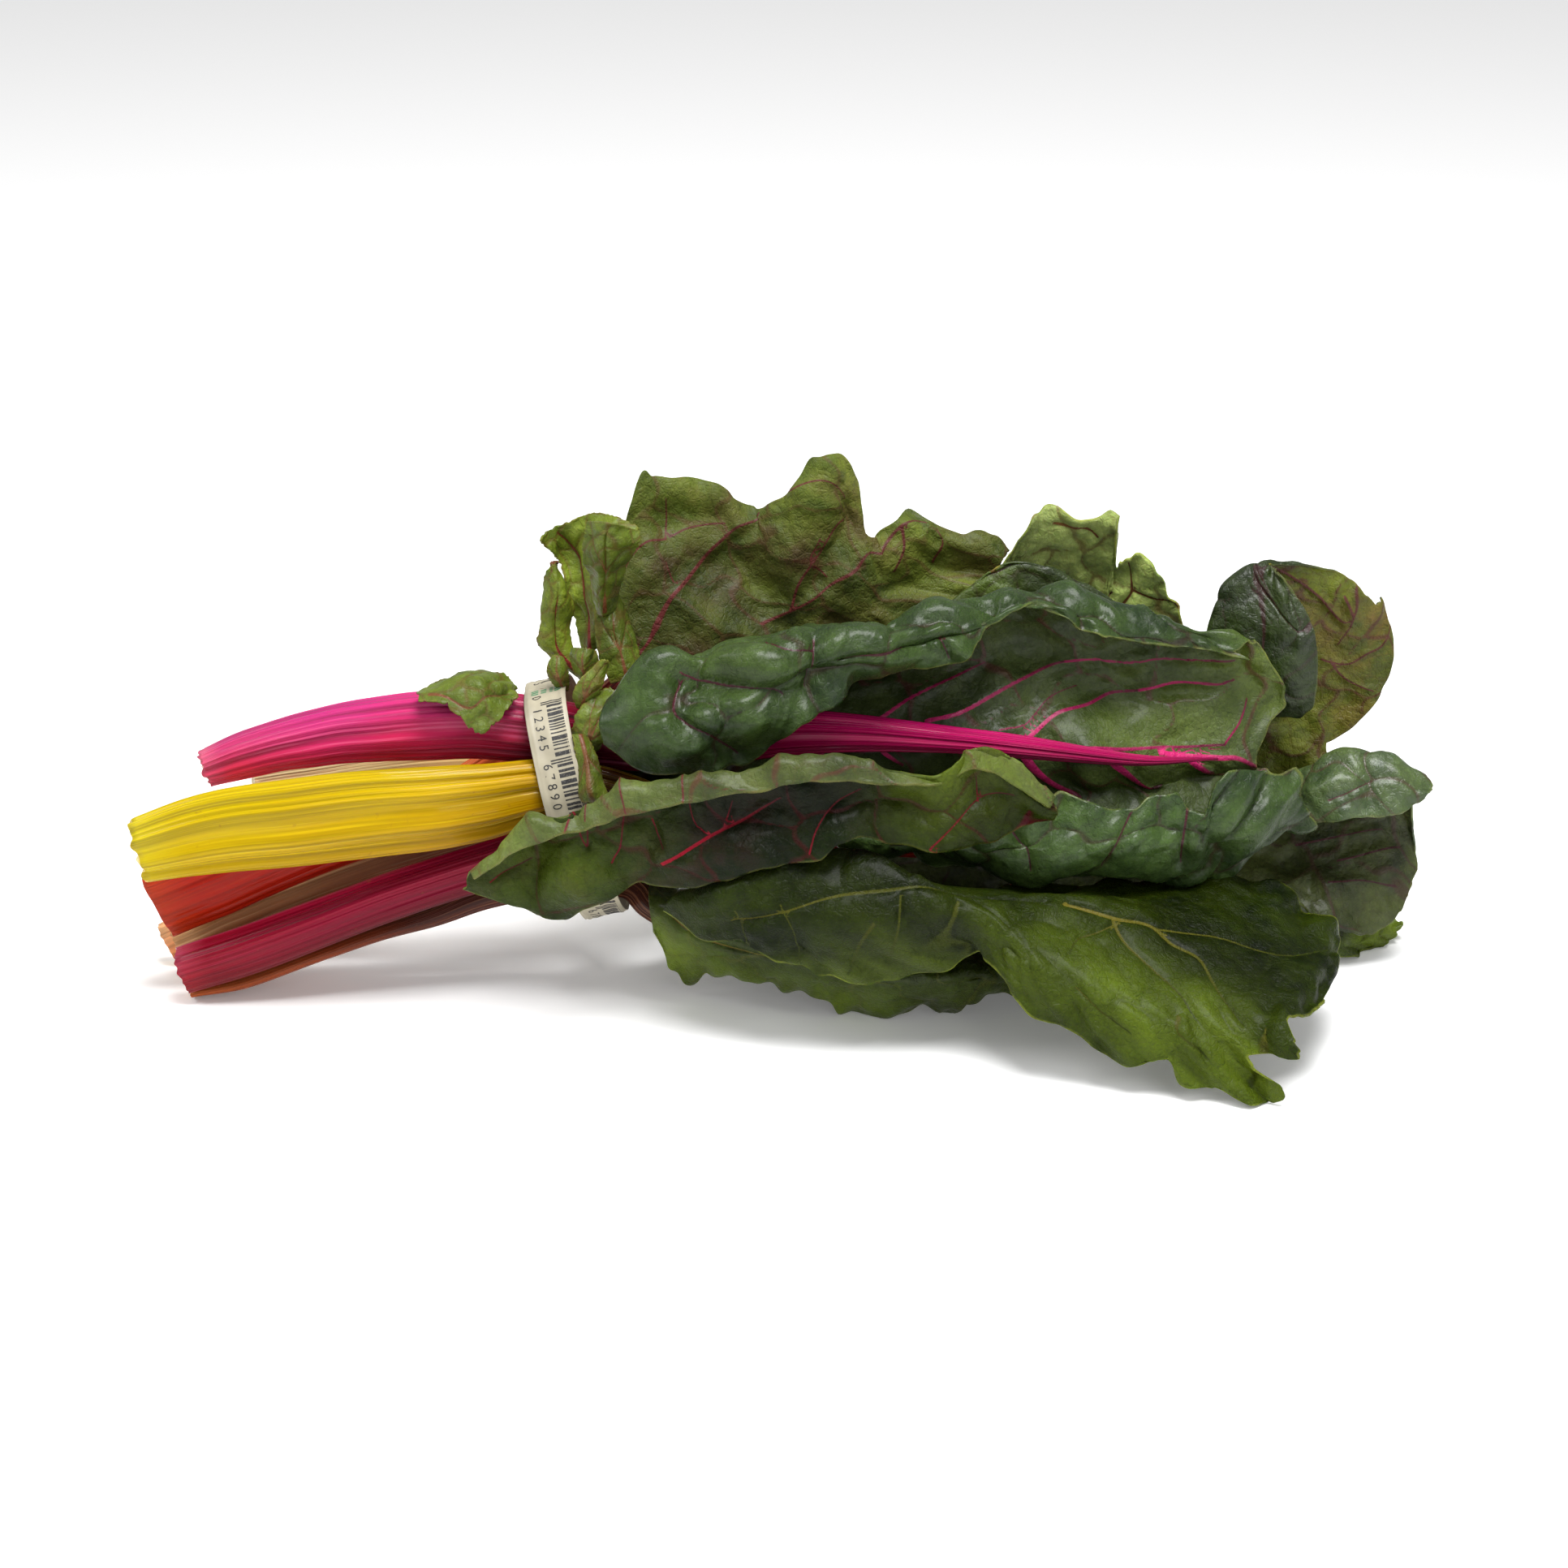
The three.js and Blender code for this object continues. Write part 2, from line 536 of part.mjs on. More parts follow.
function tieBand() {
  const points = tieLoop.map(([y, z]) => new THREE.Vector3(y, z - TIE_CENTRE.z, 0));
  const loop = new THREE.CatmullRomCurve3(points, true, 'catmullrom', 0.5);
  const outer = [];
  const inner = [];
  for (let i = 0; i < TIE_CORNERS; i += 1) {
    const point = loop.getPoint(i / TIE_CORNERS);
    const forward = loop.getTangent(i / TIE_CORNERS);
    const outward = new THREE.Vector2(-forward.y, forward.x);
    outer.push(new THREE.Vector2(point.x, point.y).addScaledVector(outward, -TIE_THICKNESS / 2));
    inner.push(new THREE.Vector2(point.x, point.y).addScaledVector(outward, TIE_THICKNESS / 2));
  }
  const shape = new THREE.Shape(outer);
  shape.holes.push(new THREE.Path(inner));
  const band = new THREE.ExtrudeGeometry(shape, { depth: TIE_WIDTH, bevelEnabled: false });
  band.translate(0, 0, -TIE_WIDTH / 2);
  const axes = new THREE.Matrix4().makeBasis(
    new THREE.Vector3(0, 1, 0),
    new THREE.Vector3(0, 0, 1),
    new THREE.Vector3(1, 0, 0),
  );
  band.applyMatrix4(axes);
  return band;
}

// The two ends wound round each other: a strip whose section turns as it runs down the back,
// listed from the middle of the tie.
const tailRoute = [
  [0, 22.8, -2], [0, 26, -3], [1, 28.5, -7], [2, 29, -13], [3, 28.5, -19], [3, 27, -25],
];

function tieTail() {
  const line = smoothLine(tailRoute);
  const strip = new THREE.BoxGeometry(TIE_TAIL_WIDTH, 1, 2 * TIE_THICKNESS, 2, 24, 1);
  const place = strip.getAttribute('position');
  for (let i = 0; i < place.count; i += 1) {
    const t = place.getY(i) + 0.5;
    const turn = t * TIE_TAIL_TWISTS * Math.PI;
    const forward = line.getTangent(t);
    const sideways = new THREE.Vector3(1, 0, 0);
    sideways.addScaledVector(forward, -forward.x).normalize();
    const outward = new THREE.Vector3().crossVectors(sideways, forward);
    const point = line.getPoint(t);
    const across = sideways.clone().applyAxisAngle(forward, turn);
    const through = outward.clone().applyAxisAngle(forward, turn);
    point.addScaledVector(across, place.getX(i));
    point.addScaledVector(through, place.getZ(i));
    place.setXYZ(i, point.x, point.y, point.z);
  }
  return strip;
}

const tie = geometryFrom(solidFrom(tieBand()).add(solidFrom(tieTail())));
const tieMesh = addPiece('twist_tie', tie, 0xd6d4c6, 0.8);
tieMesh.position.copy(TIE_CENTRE);
tieMesh.rotation.y = -TIE_LEAN;

export default bunch;
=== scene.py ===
import math

import bmesh
import bpy
import numpy as np
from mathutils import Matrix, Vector


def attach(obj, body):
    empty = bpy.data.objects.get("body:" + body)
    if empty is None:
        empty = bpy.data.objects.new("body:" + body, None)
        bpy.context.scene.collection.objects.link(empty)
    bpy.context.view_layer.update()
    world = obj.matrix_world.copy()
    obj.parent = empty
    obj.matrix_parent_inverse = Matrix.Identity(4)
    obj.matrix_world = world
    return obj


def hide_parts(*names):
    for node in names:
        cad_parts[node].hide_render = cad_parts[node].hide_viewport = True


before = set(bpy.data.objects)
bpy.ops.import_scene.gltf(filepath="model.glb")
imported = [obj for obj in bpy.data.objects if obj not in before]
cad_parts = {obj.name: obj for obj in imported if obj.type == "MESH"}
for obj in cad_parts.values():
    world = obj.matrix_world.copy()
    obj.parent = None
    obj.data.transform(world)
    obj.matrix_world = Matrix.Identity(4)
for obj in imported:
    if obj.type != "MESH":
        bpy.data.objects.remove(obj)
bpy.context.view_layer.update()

# ---- Pink stalk ---------------------------------------------------------------------------
# The widest stalk, on top of the bunch. It is a fleshy ribbed stem, cut square at the root end,
# that thins into the raised midrib on the underside of the pink leaf.
# Sizes and places are in millimetres here, in the same frame as the solids.

METRE = 1000
STALK_SIDES = 112
STALK_RING = 2.0
CUT_RINGS = (0.06, 0.1, 0.18, 0.26)
LOOK_AHEAD = 0.004
SQUARENESS = 0.82
RIB_WANDER = 0.25
RIB_WANDER_STEP = 37
WOBBLE = 0.25
WOBBLE_STEP = 23
AT_CUT = 0.0001
THIN_FROM = 0.86
THINNED_BY = 0.72
LEAST_RADIUS = 0.3
LEAST_HEIGHT = 0.05


def smooth_line(stops, t):
    """Places on the smooth line through the stops, for t from 0 to 1 along it."""
    stops = np.asarray(stops, float)
    last = len(stops) - 1
    longer = np.concatenate([[2 * stops[0] - stops[1]], stops, [2 * stops[-1] - stops[-2]]])
    place = np.clip(t, 0, 1) * last
    first = np.minimum(place.astype(int), last - 1)
    part = (place - first).reshape((-1,) + (1,) * (stops.ndim - 1))
    before, start, end, after = (longer[first + k] for k in range(4))
    leaving = (end - before) / 2
    arriving = (after - start) / 2
    return ((2 * part**3 - 3 * part**2 + 1) * start + (part**3 - 2 * part**2 + part) * leaving
            + (3 * part**2 - 2 * part**3) * end + (part**3 - part**2) * arriving)


def heading(stops, t):
    """The way the smooth line goes at t, with a length of 1."""
    ahead = smooth_line(stops, t + LOOK_AHEAD) - smooth_line(stops, t - LOOK_AHEAD)
    return ahead / np.linalg.norm(ahead, axis=1)[:, None]


def drift(x, y, step, seed):
    """A soft uneven surface from -1 to 1 whose swells are about one step apart."""
    dice = np.random.default_rng(seed)
    total = 0
    for k in range(7):
        turn = dice.uniform(0, math.tau)
        pace = math.tau / step * dice.uniform(0.6, 1.6)
        total = total + np.sin(pace * (x * math.cos(turn) + y * math.sin(turn))
                               + dice.uniform(0, math.tau))
    return total / 3.2


def mesh_of(name, bm, smooth=True):
    """Turns a finished bmesh into a mesh."""
    for face in bm.faces:
        face.smooth = smooth
    mesh = bpy.data.meshes.new(name)
    bm.to_mesh(mesh)
    bm.free()
    return mesh


def points_of(mesh):
    """The places of the mesh's points, one row each."""
    places = np.empty(len(mesh.vertices) * 3)
    mesh.vertices.foreach_get("co", places)
    return places.reshape(-1, 3)


def keep(mesh, name, values, kind="FLOAT"):
    """Stores one value for each point of the mesh, for its material to read."""
    field = mesh.attributes.new(name, kind, "POINT")
    key = {"FLOAT": "value", "FLOAT_VECTOR": "vector", "FLOAT_COLOR": "color"}[kind]
    field.data.foreach_set(key, np.ascontiguousarray(values, np.float32).ravel())


def piece_from(name, mesh, materials, node):
    """Puts the mesh in the scene, as the piece that stands for a solid of the frame if one does."""
    piece = bpy.data.objects.new(name, mesh)
    bpy.context.collection.objects.link(piece)
    for material in materials:
        mesh.materials.append(material)
    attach(piece, "root")
    if node:
        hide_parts(node)
    return piece


def paint(colour):
    """A colour as the shader wants it, from its everyday 0 to 255 values."""
    shares = [value / 255 for value in colour]
    straight = [s / 12.92 if s <= 0.04045 else ((s + 0.055) / 1.055) ** 2.4 for s in shares]
    return (*straight, 1.0)


class Finish:
    """A material in the making, with a short way to add each kind of node that it needs."""

    def __init__(self, name):
        self.material = bpy.data.materials.new(name)
        self.material.use_nodes = True
        self.tree = self.material.node_tree

    def fill(self, node, values):
        """Sets the node's inputs: another node's output is linked, anything else is a level."""
        for key, value in values.items():
            if isinstance(value, bpy.types.NodeSocket):
                self.tree.links.new(value, node.inputs[key])
            else:
                node.inputs[key].default_value = value

    def add(self, kind, values=None, **settings):
        node = self.tree.nodes.new(kind)
        for key, value in settings.items():
            setattr(node, key, value)
        self.fill(node, values or {})
        return node.outputs

    def stored(self, name, kind="Fac"):
        """One of the values that the mesh keeps for its points."""
        return self.add("ShaderNodeAttribute", attribute_name=name)[kind]

    def noise(self, place, scale, detail=2.0, roughness=0.5, out="Fac"):
        return self.add("ShaderNodeTexNoise", {"Vector": place, "Scale": scale, "Detail": detail,
                                               "Roughness": roughness})[out]

    def maths(self, way, first, second=0.0):
        return self.add("ShaderNodeMath", {0: first, 1: second}, operation=way)[0]

    def scaled(self, vector, amount):
        return self.add("ShaderNodeVectorMath", {0: vector, "Scale": amount}, operation="SCALE")[0]

    def stretched(self, vector, amounts):
        return self.add("ShaderNodeVectorMath", {0: vector, 1: amounts}, operation="MULTIPLY")[0]

    def ranged(self, value, low, high, start=0.0, end=1.0):
        """The value, with low to high brought to start to end."""
        return self.add("ShaderNodeMapRange", {"Value": value, "From Min": low, "From Max": high,
                                               "To Min": start, "To Max": end})[0]

    def mixed(self, share, under, over):
        """The over colour laid on the under colour by a share from 0 to 1."""
        under, over = (paint(c) if isinstance(c, tuple) else c for c in (under, over))
        return self.add("ShaderNodeMix", {0: share, 6: under, 7: over}, data_type="RGBA")[2]

    def bumped(self, height, strength, distance, over=None):
        """A relief in metres, on top of another one if one is given."""
        values = {"Height": height, "Strength": strength, "Distance": distance}
        if over:
            values["Normal"] = over
        return self.add("ShaderNodeBump", values)[0]

    def done(self, values):
        self.fill(self.tree.nodes["Principled BSDF"], values)
        return self.material


def stalk_skin(name, streak, streak_share, roughness):
    """Wet, ribbed stalk skin: pale strings run along it under a thin waxy gloss."""
    skin = Finish(name)
    grain = skin.stored("grain", "Vector")
    strings = skin.noise(skin.stretched(grain, (1.5, 1.5, 0.012)), 1.0, 4.0, 0.65)
    bands = skin.noise(skin.stretched(grain, (0.7, 0.7, 0.01)), 1.0)
    specks = skin.noise(grain, 0.55, 3.0)
    shaded = skin.scaled(skin.stored("tint", "Color"), skin.ranged(bands, 0.32, 0.66, 0.66, 1.14))
    colour = skin.mixed(skin.ranged(strings, 0.54, 0.66, 0.0, streak_share), shaded, streak)
    colour = skin.mixed(skin.ranged(specks, 0.68, 0.76, 0.0, 0.35), colour, (120, 70, 30))
    cords = skin.bumped(bands, 0.7, 0.0009)
    return skin.done({
        "Base Color": colour, "Normal": skin.bumped(strings, 0.25, 0.0004, cords),
        "Roughness": skin.ranged(strings, 0.3, 0.8, roughness - 0.06, roughness + 0.12),
        "Subsurface Weight": 0.15, "Subsurface Radius": (1.0, 0.4, 0.2),
        "Subsurface Scale": 0.002, "Specular IOR Level": 0.06, "Coat Weight": 0.18,
        "Coat Roughness": 0.08})


def cut_face(name, middle, rim):
    """The cut end: paler wet flesh, with a ring of strings and a browned rim."""
    flesh = Finish(name)
    pores = flesh.add("ShaderNodeTexVoronoi", {"Vector": flesh.stored("grain", "Vector"),
                                               "Scale": 0.9})["Distance"]
    colour = flesh.mixed(flesh.ranged(flesh.stored("inward"), 0.75, 1.0), middle, rim)
    colour = flesh.mixed(flesh.ranged(pores, 0.0, 0.35, 0.5, 0.0), colour, (150, 110, 70))
    return flesh.done({"Base Color": colour, "Roughness": 0.45,
                       "Normal": flesh.bumped(pores, 0.5, 0.0005)})


def grow_stalk(name, node, route, tints, ribs, hollow, skin, flesh, seed, ragged=0.6):
    """Bends a ribbed rod along its route, with a flat or hollowed inner side and a cut end.

    A stop of the route is its place, then the stalk's height and depth there. A tint is how far
    along it lies, then the colours of the top, the middle and the bottom. These colours hold painted
    light and shade besides the stalk's own colour: a side is lighter or darker as light falls on it,
    and a stretch is darker where it runs in shade. A rib is how many go round, how high they stand
    and how far round the first one is.
    """
    route = np.array(route, float)
    length = np.linalg.norm(np.diff(route[:, :3], axis=0), axis=1).sum()
    bm = bmesh.new()
    bmesh.ops.create_cone(bm, cap_ends=True, cap_tris=False, segments=STALK_SIDES,
                          radius1=1, radius2=1, depth=1)
    sides = [e for e in bm.edges if abs(e.verts[0].co.z - e.verts[1].co.z) > 0.5]
    bmesh.ops.subdivide_edges(bm, edges=sides, cuts=int(length / STALK_RING),
                              use_grid_fill=True)
    for end in [f for f in bm.faces if len(f.verts) > 4]:
        for step in CUT_RINGS:
            bmesh.ops.inset_region(bm, faces=[end], thickness=step)
    for face in bm.faces:
        face.material_index = 1 if face.calc_center_median().z < -0.4999 else 0
    mesh = mesh_of(name, bm)

    rod = points_of(mesh)
    t = rod[:, 2] + 0.5
    turn = np.arctan2(rod[:, 1], rod[:, 0])
    inward = np.clip(np.hypot(rod[:, 0], rod[:, 1]), 0, 1)
    stop = smooth_line(route, t)
    ahead = heading(route[:, :3], t)
    deep = np.array([0.0, 1.0, 0.0]) - ahead * ahead[:, 1:2]
    deep /= np.linalg.norm(deep, axis=1)[:, None]
    upright = np.cross(ahead, deep)
    taper = 1 - THINNED_BY * np.clip((t - THIN_FROM) / (1 - THIN_FROM), 0, 1) ** 2
    tall, thick = stop[:, 3] / 2 * taper, stop[:, 4] / 2 * taper
    cos, sin = np.cos(turn), np.sin(turn)
    up = np.sign(cos) * np.abs(cos) ** SQUARENESS
    back = np.sign(sin) * np.abs(sin) ** SQUARENESS
    inner = np.clip(back * np.sign(hollow), 0, 1)
    back = back * (1 - abs(hollow) * inner * (1 - np.abs(up) ** 2))
    along = t * length
    swell = 0
    for number, height, start in ribs:
        wander = start + RIB_WANDER * np.sin(along / RIB_WANDER_STEP + start * 5)
        swell = swell + height * (np.abs(np.sin(number * turn / 2 + wander)) - 0.65)
    swell = swell * np.minimum(tall, thick) / 5 * (1 - 0.7 * inner)
    size_up = np.maximum(tall + swell, LEAST_RADIUS) * up * inward
    size_back = np.maximum(thick + swell, LEAST_RADIUS) * back * inward
    place = stop[:, :3] + upright * size_up[:, None] + deep * size_back[:, None]
    wobble = WOBBLE * drift(turn * 6, along, WOBBLE_STEP, seed)
    place += deep * (wobble * inward)[:, None]
    torn = ragged * (drift(turn * 4, inward * 3, 2.2, seed + 1) * 0.5 - 0.5 * (1 - inward))
    place -= ahead * (np.where(t < AT_CUT, torn, 0))[:, None]
    place[:, 2] = np.maximum(place[:, 2], LEAST_HEIGHT)
    mesh.vertices.foreach_set("co", (place / METRE).ravel())

    # Painted light and shade: the top and bottom colours are blended in by how far up or down each
    # point of the skin faces.
    stations = [row[0] for row in tints]
    colours = np.array([[paint(c) for c in row[1:]] for row in tints])
    top, middle, bottom = (
        np.stack([np.interp(t, stations, colours[:, level, c]) for c in range(4)], axis=1)
        for level in range(3))
    height = np.clip(up + 0.12 * drift(turn * 5, along, 30, seed + 2), -1, 1)[:, None]
    share = np.abs(height)
    keep(mesh, "tint", middle * (1 - share) + np.where(height > 0, top, bottom) * share,
         "FLOAT_COLOR")
    radius = (tall + thick).mean()
    keep(mesh, "grain", np.stack([cos * radius * inward, sin * radius * inward, along], axis=1),
         "FLOAT_VECTOR")
    keep(mesh, "inward", inward)
    return piece_from(name, mesh, [skin, flesh], node)


pink_route = [
    [-141.5, -2, 58, 9, 8], [-132.5, -3, 61.5, 11, 9], [-121, -4, 65, 12.5, 10],
    [-107, -5, 68, 14.5, 11], [-91, -6, 70, 16, 12], [-74, -6, 70.5, 16.5, 12],
    [-55, -6, 68.5, 15, 12], [-42.5, -11.5, 68.5, 14, 9], [-26.5, -14.5, 68.5, 13, 8],
    [3.5, -13, 71, 11, 6], [35.5, -10, 68.5, 7, 4.8], [59, -7, 65, 5.4, 3.8], [86.5, -2, 60, 3.2, 2.6],
    [107, 3, 58.5, 1.4, 1.2],
]
# The dark colours from 0.45 to 0.56 are painted shade, round the tie and under the leaflets there.
pink_tints = [
    (0.00, (214, 103, 133), (202, 68, 99), (195, 73, 91)),
    (0.05, (183, 57, 110), (194, 47, 80), (219, 42, 40)),
    (0.20, (176, 46, 110), (188, 37, 87), (202, 34, 35)),
    (0.36, (175, 45, 104), (168, 26, 68), (173, 23, 25)),
    (0.45, (123, 16, 38), (103, 12, 30), (79, 9, 19)),
    (0.56, (113, 12, 45), (99, 9, 38), (66, 7, 22)),
    (0.62, (189, 4, 90), (159, 4, 72), (101, 4, 39)),
    (0.80, (192, 5, 97), (163, 4, 75), (102, 4, 41)),
    (1.00, (169, 18, 85), (140, 8, 67), (86, 5, 41)),
]
pink_skin = stalk_skin("pink_stalk_skin", (240, 120, 160), 0.24, 0.34)
pink_flesh = cut_face("pink_cut_face", (232, 176, 168), (196, 96, 96))
grow_stalk(
    "pink_stem", "pink_stalk", pink_route, pink_tints,
    ribs=[(9, 0.75, 0.3), (22, 0.4, 1.1), (38, 0.2, 2.0)], hollow=0.5, skin=pink_skin,
    flesh=pink_flesh, seed=11, ragged=2.2)

# ---- Pink leaf ----------------------------------------------------------------------------
# The main blade, thin and puckered. Its pale underside and raised veins face the front, while
# its upper margin rolls forward over them and its lower margin turns up as a glossy lip.

BLADE_THICKNESS = 0.55
ROOT_SHARE = 0.12
ROOT_LENGTH = 12
LEAST_WIDTH = 6
MOST_IN, MOST_OUT_FIRST, MOST_OUT_LAST = 0.45, 0.4, 0.55
MARGIN = 7
FRILL_MARGIN = 16
SEAM_WANDER = 1.8
SEAM_WANDER_STEP = 14
SWELL_WITHIN = 0.2
BEAD_RADIUS = 0.9
BEAD_RISE = 0.12
WAVE_RISE = 0.45
WAVE_STEP = 26
GROOVE_REACH = 6
GROOVE_SOFT = 0.35
DEEPEST_GROOVE = 1.1
BRIGHT_WIDTH = 1.3
LEAST_AHEAD = 0.35
CELL_STRETCH = 0.82
SMALL_CELL = 0.36
VEIN_STEP = 0.5
VEIN_REACH = 14
CELL_TABLE = 64


def eased(value):
    value = np.clip(value, 0, 1)
    return value * value * (3 - 2 * value)


def lay_sheet(rails, along, across):
    """Places on the smooth sheet through the rails, one row for each value of along."""
    lines = smooth_line(np.moveaxis(np.array(list(rails.values()), float), 1, 0), along)
    return np.moveaxis(smooth_line(np.moveaxis(lines, 1, 0), across), 0, 1)


def sheet_facing(places):
    """The way each place on the sheet faces."""
    facing = np.cross(np.gradient(places, axis=0), np.gradient(places, axis=1))
    return facing / np.maximum(np.linalg.norm(facing, axis=2), 1e-9)[..., None]


def flattened(places):
    """Each place as millimetres along and across the blade, as if it were pressed flat."""
    middle = places.shape[1] // 2
    steps = np.linalg.norm(np.diff(places, axis=1), axis=2)
    across = np.concatenate([np.zeros((len(places), 1)), np.cumsum(steps, axis=1)], axis=1)
    across -= across[:, middle:middle + 1]
    moved = np.linalg.norm(np.diff(places, axis=0), axis=2)
    sideways = np.diff(across, axis=0)
    ahead = np.sqrt(np.maximum(moved**2 - sideways**2, (LEAST_AHEAD * moved) ** 2))
    along = np.concatenate([np.zeros((1, places.shape[1])), np.cumsum(ahead, axis=0)])
    return along, across


def between(field, row, column):
    """Reads a field of the sheet between its grid lines, and a little past its edges."""
    a = np.clip(row.astype(int), 0, field.shape[0] - 2)
    b = np.clip(column.astype(int), 0, field.shape[1] - 2)
    p, q = row - a, column - b
    if field.ndim == 3:
        p, q = p[..., None], q[..., None]
    return ((1 - p) * (1 - q) * field[a, b] + p * (1 - q) * field[a + 1, b]
            + (1 - p) * q * field[a, b + 1] + p * q * field[a + 1, b + 1])


def laid_flat(line, along, across):
    """Millimetres along and across the blade, for places in shares of its length and width."""
    row, column = (np.clip(line, 0, 1) * (np.array(along.shape) - 1)).T
    return between(along, row, column), between(across, row, column)


def near_to(x, y, spots_x, spots_y, margin):
    """Which places lie in the box round the spots, widened by a margin."""
    return ((x > spots_x.min() - margin) & (x < spots_x.max() + margin)
            & (y > spots_y.min() - margin) & (y < spots_y.max() + margin))


def cells(x, y, size, seed):
    """Distance to the nearest seam between cells of about this size, and a value per cell."""
    dice = np.random.default_rng(seed)
    jitter = dice.uniform(0.1, 0.9, (CELL_TABLE, CELL_TABLE, 2))
    worth = dice.uniform(0, 1, (CELL_TABLE, CELL_TABLE))
    here = np.stack([x, y], axis=-1) / size
    column, row = np.moveaxis(np.floor(here).astype(int), -1, 0)
    nearest = np.full(x.shape, 1e9)
    home = np.zeros(here.shape)
    value = np.zeros(x.shape)
    around = [(i, j) for i in range(-2, 3) for j in range(-2, 3)]

    def heart(i, j):
        pick = (column + i) % CELL_TABLE, (row + j) % CELL_TABLE
        return np.stack([column + i, row + j], axis=-1) + jitter[pick], worth[pick]

    for i, j in around:
        spot, spot_worth = heart(i, j)
        gap = ((here - spot) ** 2).sum(-1)
        closer = gap < nearest
        nearest = np.where(closer, gap, nearest)
        home = np.where(closer[..., None], spot, home)
        value = np.where(closer, spot_worth, value)
    seam = np.full(x.shape, 1e9)
    for i, j in around:
        spot = heart(i, j)[0]
        apart = spot - home
        reach = np.linalg.norm(apart, axis=-1)
        from_seam = (((spot + home) / 2 - here) * apart).sum(-1) / np.maximum(reach, 1e-6)
        seam = np.where(reach > 1e-6, np.minimum(seam, from_seam), seam)
    return np.maximum(seam, 0) * size, value


def scalloped(place, lobes, scallop, seed):
    """How far an edge stands out past its rail, in millimetres, at each place along it."""
    out = -scallop * np.clip(0.5 + 0.5 * drift(place * 160, 0 * place, 11, seed), 0, 2) ** 1.5
    if lobes:
        stops, heights = np.array(lobes, float).T
        step = np.clip(np.interp(place, stops, np.arange(len(stops))), 0, len(stops) - 1.001)
        last = step.astype(int)
        share = eased(step - last)
        out = out + (1 - share) * heights[last] + share * heights[last + 1]
    return out


def vein_field(x, y, along, across, veins):
    """For each place: how far past the side of the nearest drawn vein it lies, its signed
    distance from that vein's middle, the vein's half width there, and how bright it is."""
    past = np.full(x.shape, 99.0)
    signed = np.full(x.shape, 99.0)
    half_width = np.zeros(x.shape)
    glow = np.zeros(x.shape)
    for stops, wide, narrow in veins:
        count = 12
        for attempt in range(3):
            t = np.linspace(0, 1, count)
            spots_x, spots_y = laid_flat(smooth_line(stops, t), along, across)
            run = np.hypot(np.diff(spots_x), np.diff(spots_y)).sum()
            count = max(int(run / VEIN_STEP), 4)
        near = near_to(x, y, spots_x, spots_y, VEIN_REACH)
        if not near.any():
            continue
        ahead_x, ahead_y = np.gradient(spots_x), np.gradient(spots_y)
        pace = np.maximum(np.hypot(ahead_x, ahead_y), 1e-6)
        from_x, from_y = x[near][:, None] - spots_x, y[near][:, None] - spots_y
        half = (wide + (narrow - wide) * t) / 2
        gap = np.hypot(from_x, from_y) - half
        best = gap.argmin(axis=1)
        row = np.arange(len(best))
        side = (from_x * ahead_y - from_y * ahead_x)[row, best] / pace[best]
        closer = gap[row, best] < past[near]
        bright = (1 - t[best]) * min(1, wide / BRIGHT_WIDTH)
        for field, values in ((signed, side), (half_width, half[best]), (glow, bright),
                              (past, gap[row, best])):
            field[near] = np.where(closer, values, field[near])
    return past, signed, half_width, glow


def folded(x, y, along, across, folds):
    """Height of the soft folds drawn on the blade: ridges where they rise, creases where not."""
    height = np.zeros(x.shape)
    for stops, reach, rise in folds:
        line = smooth_line(stops, np.linspace(0, 1, 40))
        spots_x, spots_y = laid_flat(line, along, across)
        near = near_to(x, y, spots_x, spots_y, 2.2 * reach)
        if near.any():
            gap = np.hypot(x[near][:, None] - spots_x, y[near][:, None] - spots_y)
            height[near] += rise * np.exp(-(gap.min(axis=1) / reach) ** 2)
    return height


def walled(piece, thickness, offset):
    """Gives a sheet its thickness: offset is -1 for inwards, 0 for both ways, 1 for outwards."""
    wall = piece.modifiers.new("wall", "SOLIDIFY")
    wall.thickness = thickness / METRE
    wall.offset = offset
    return wall


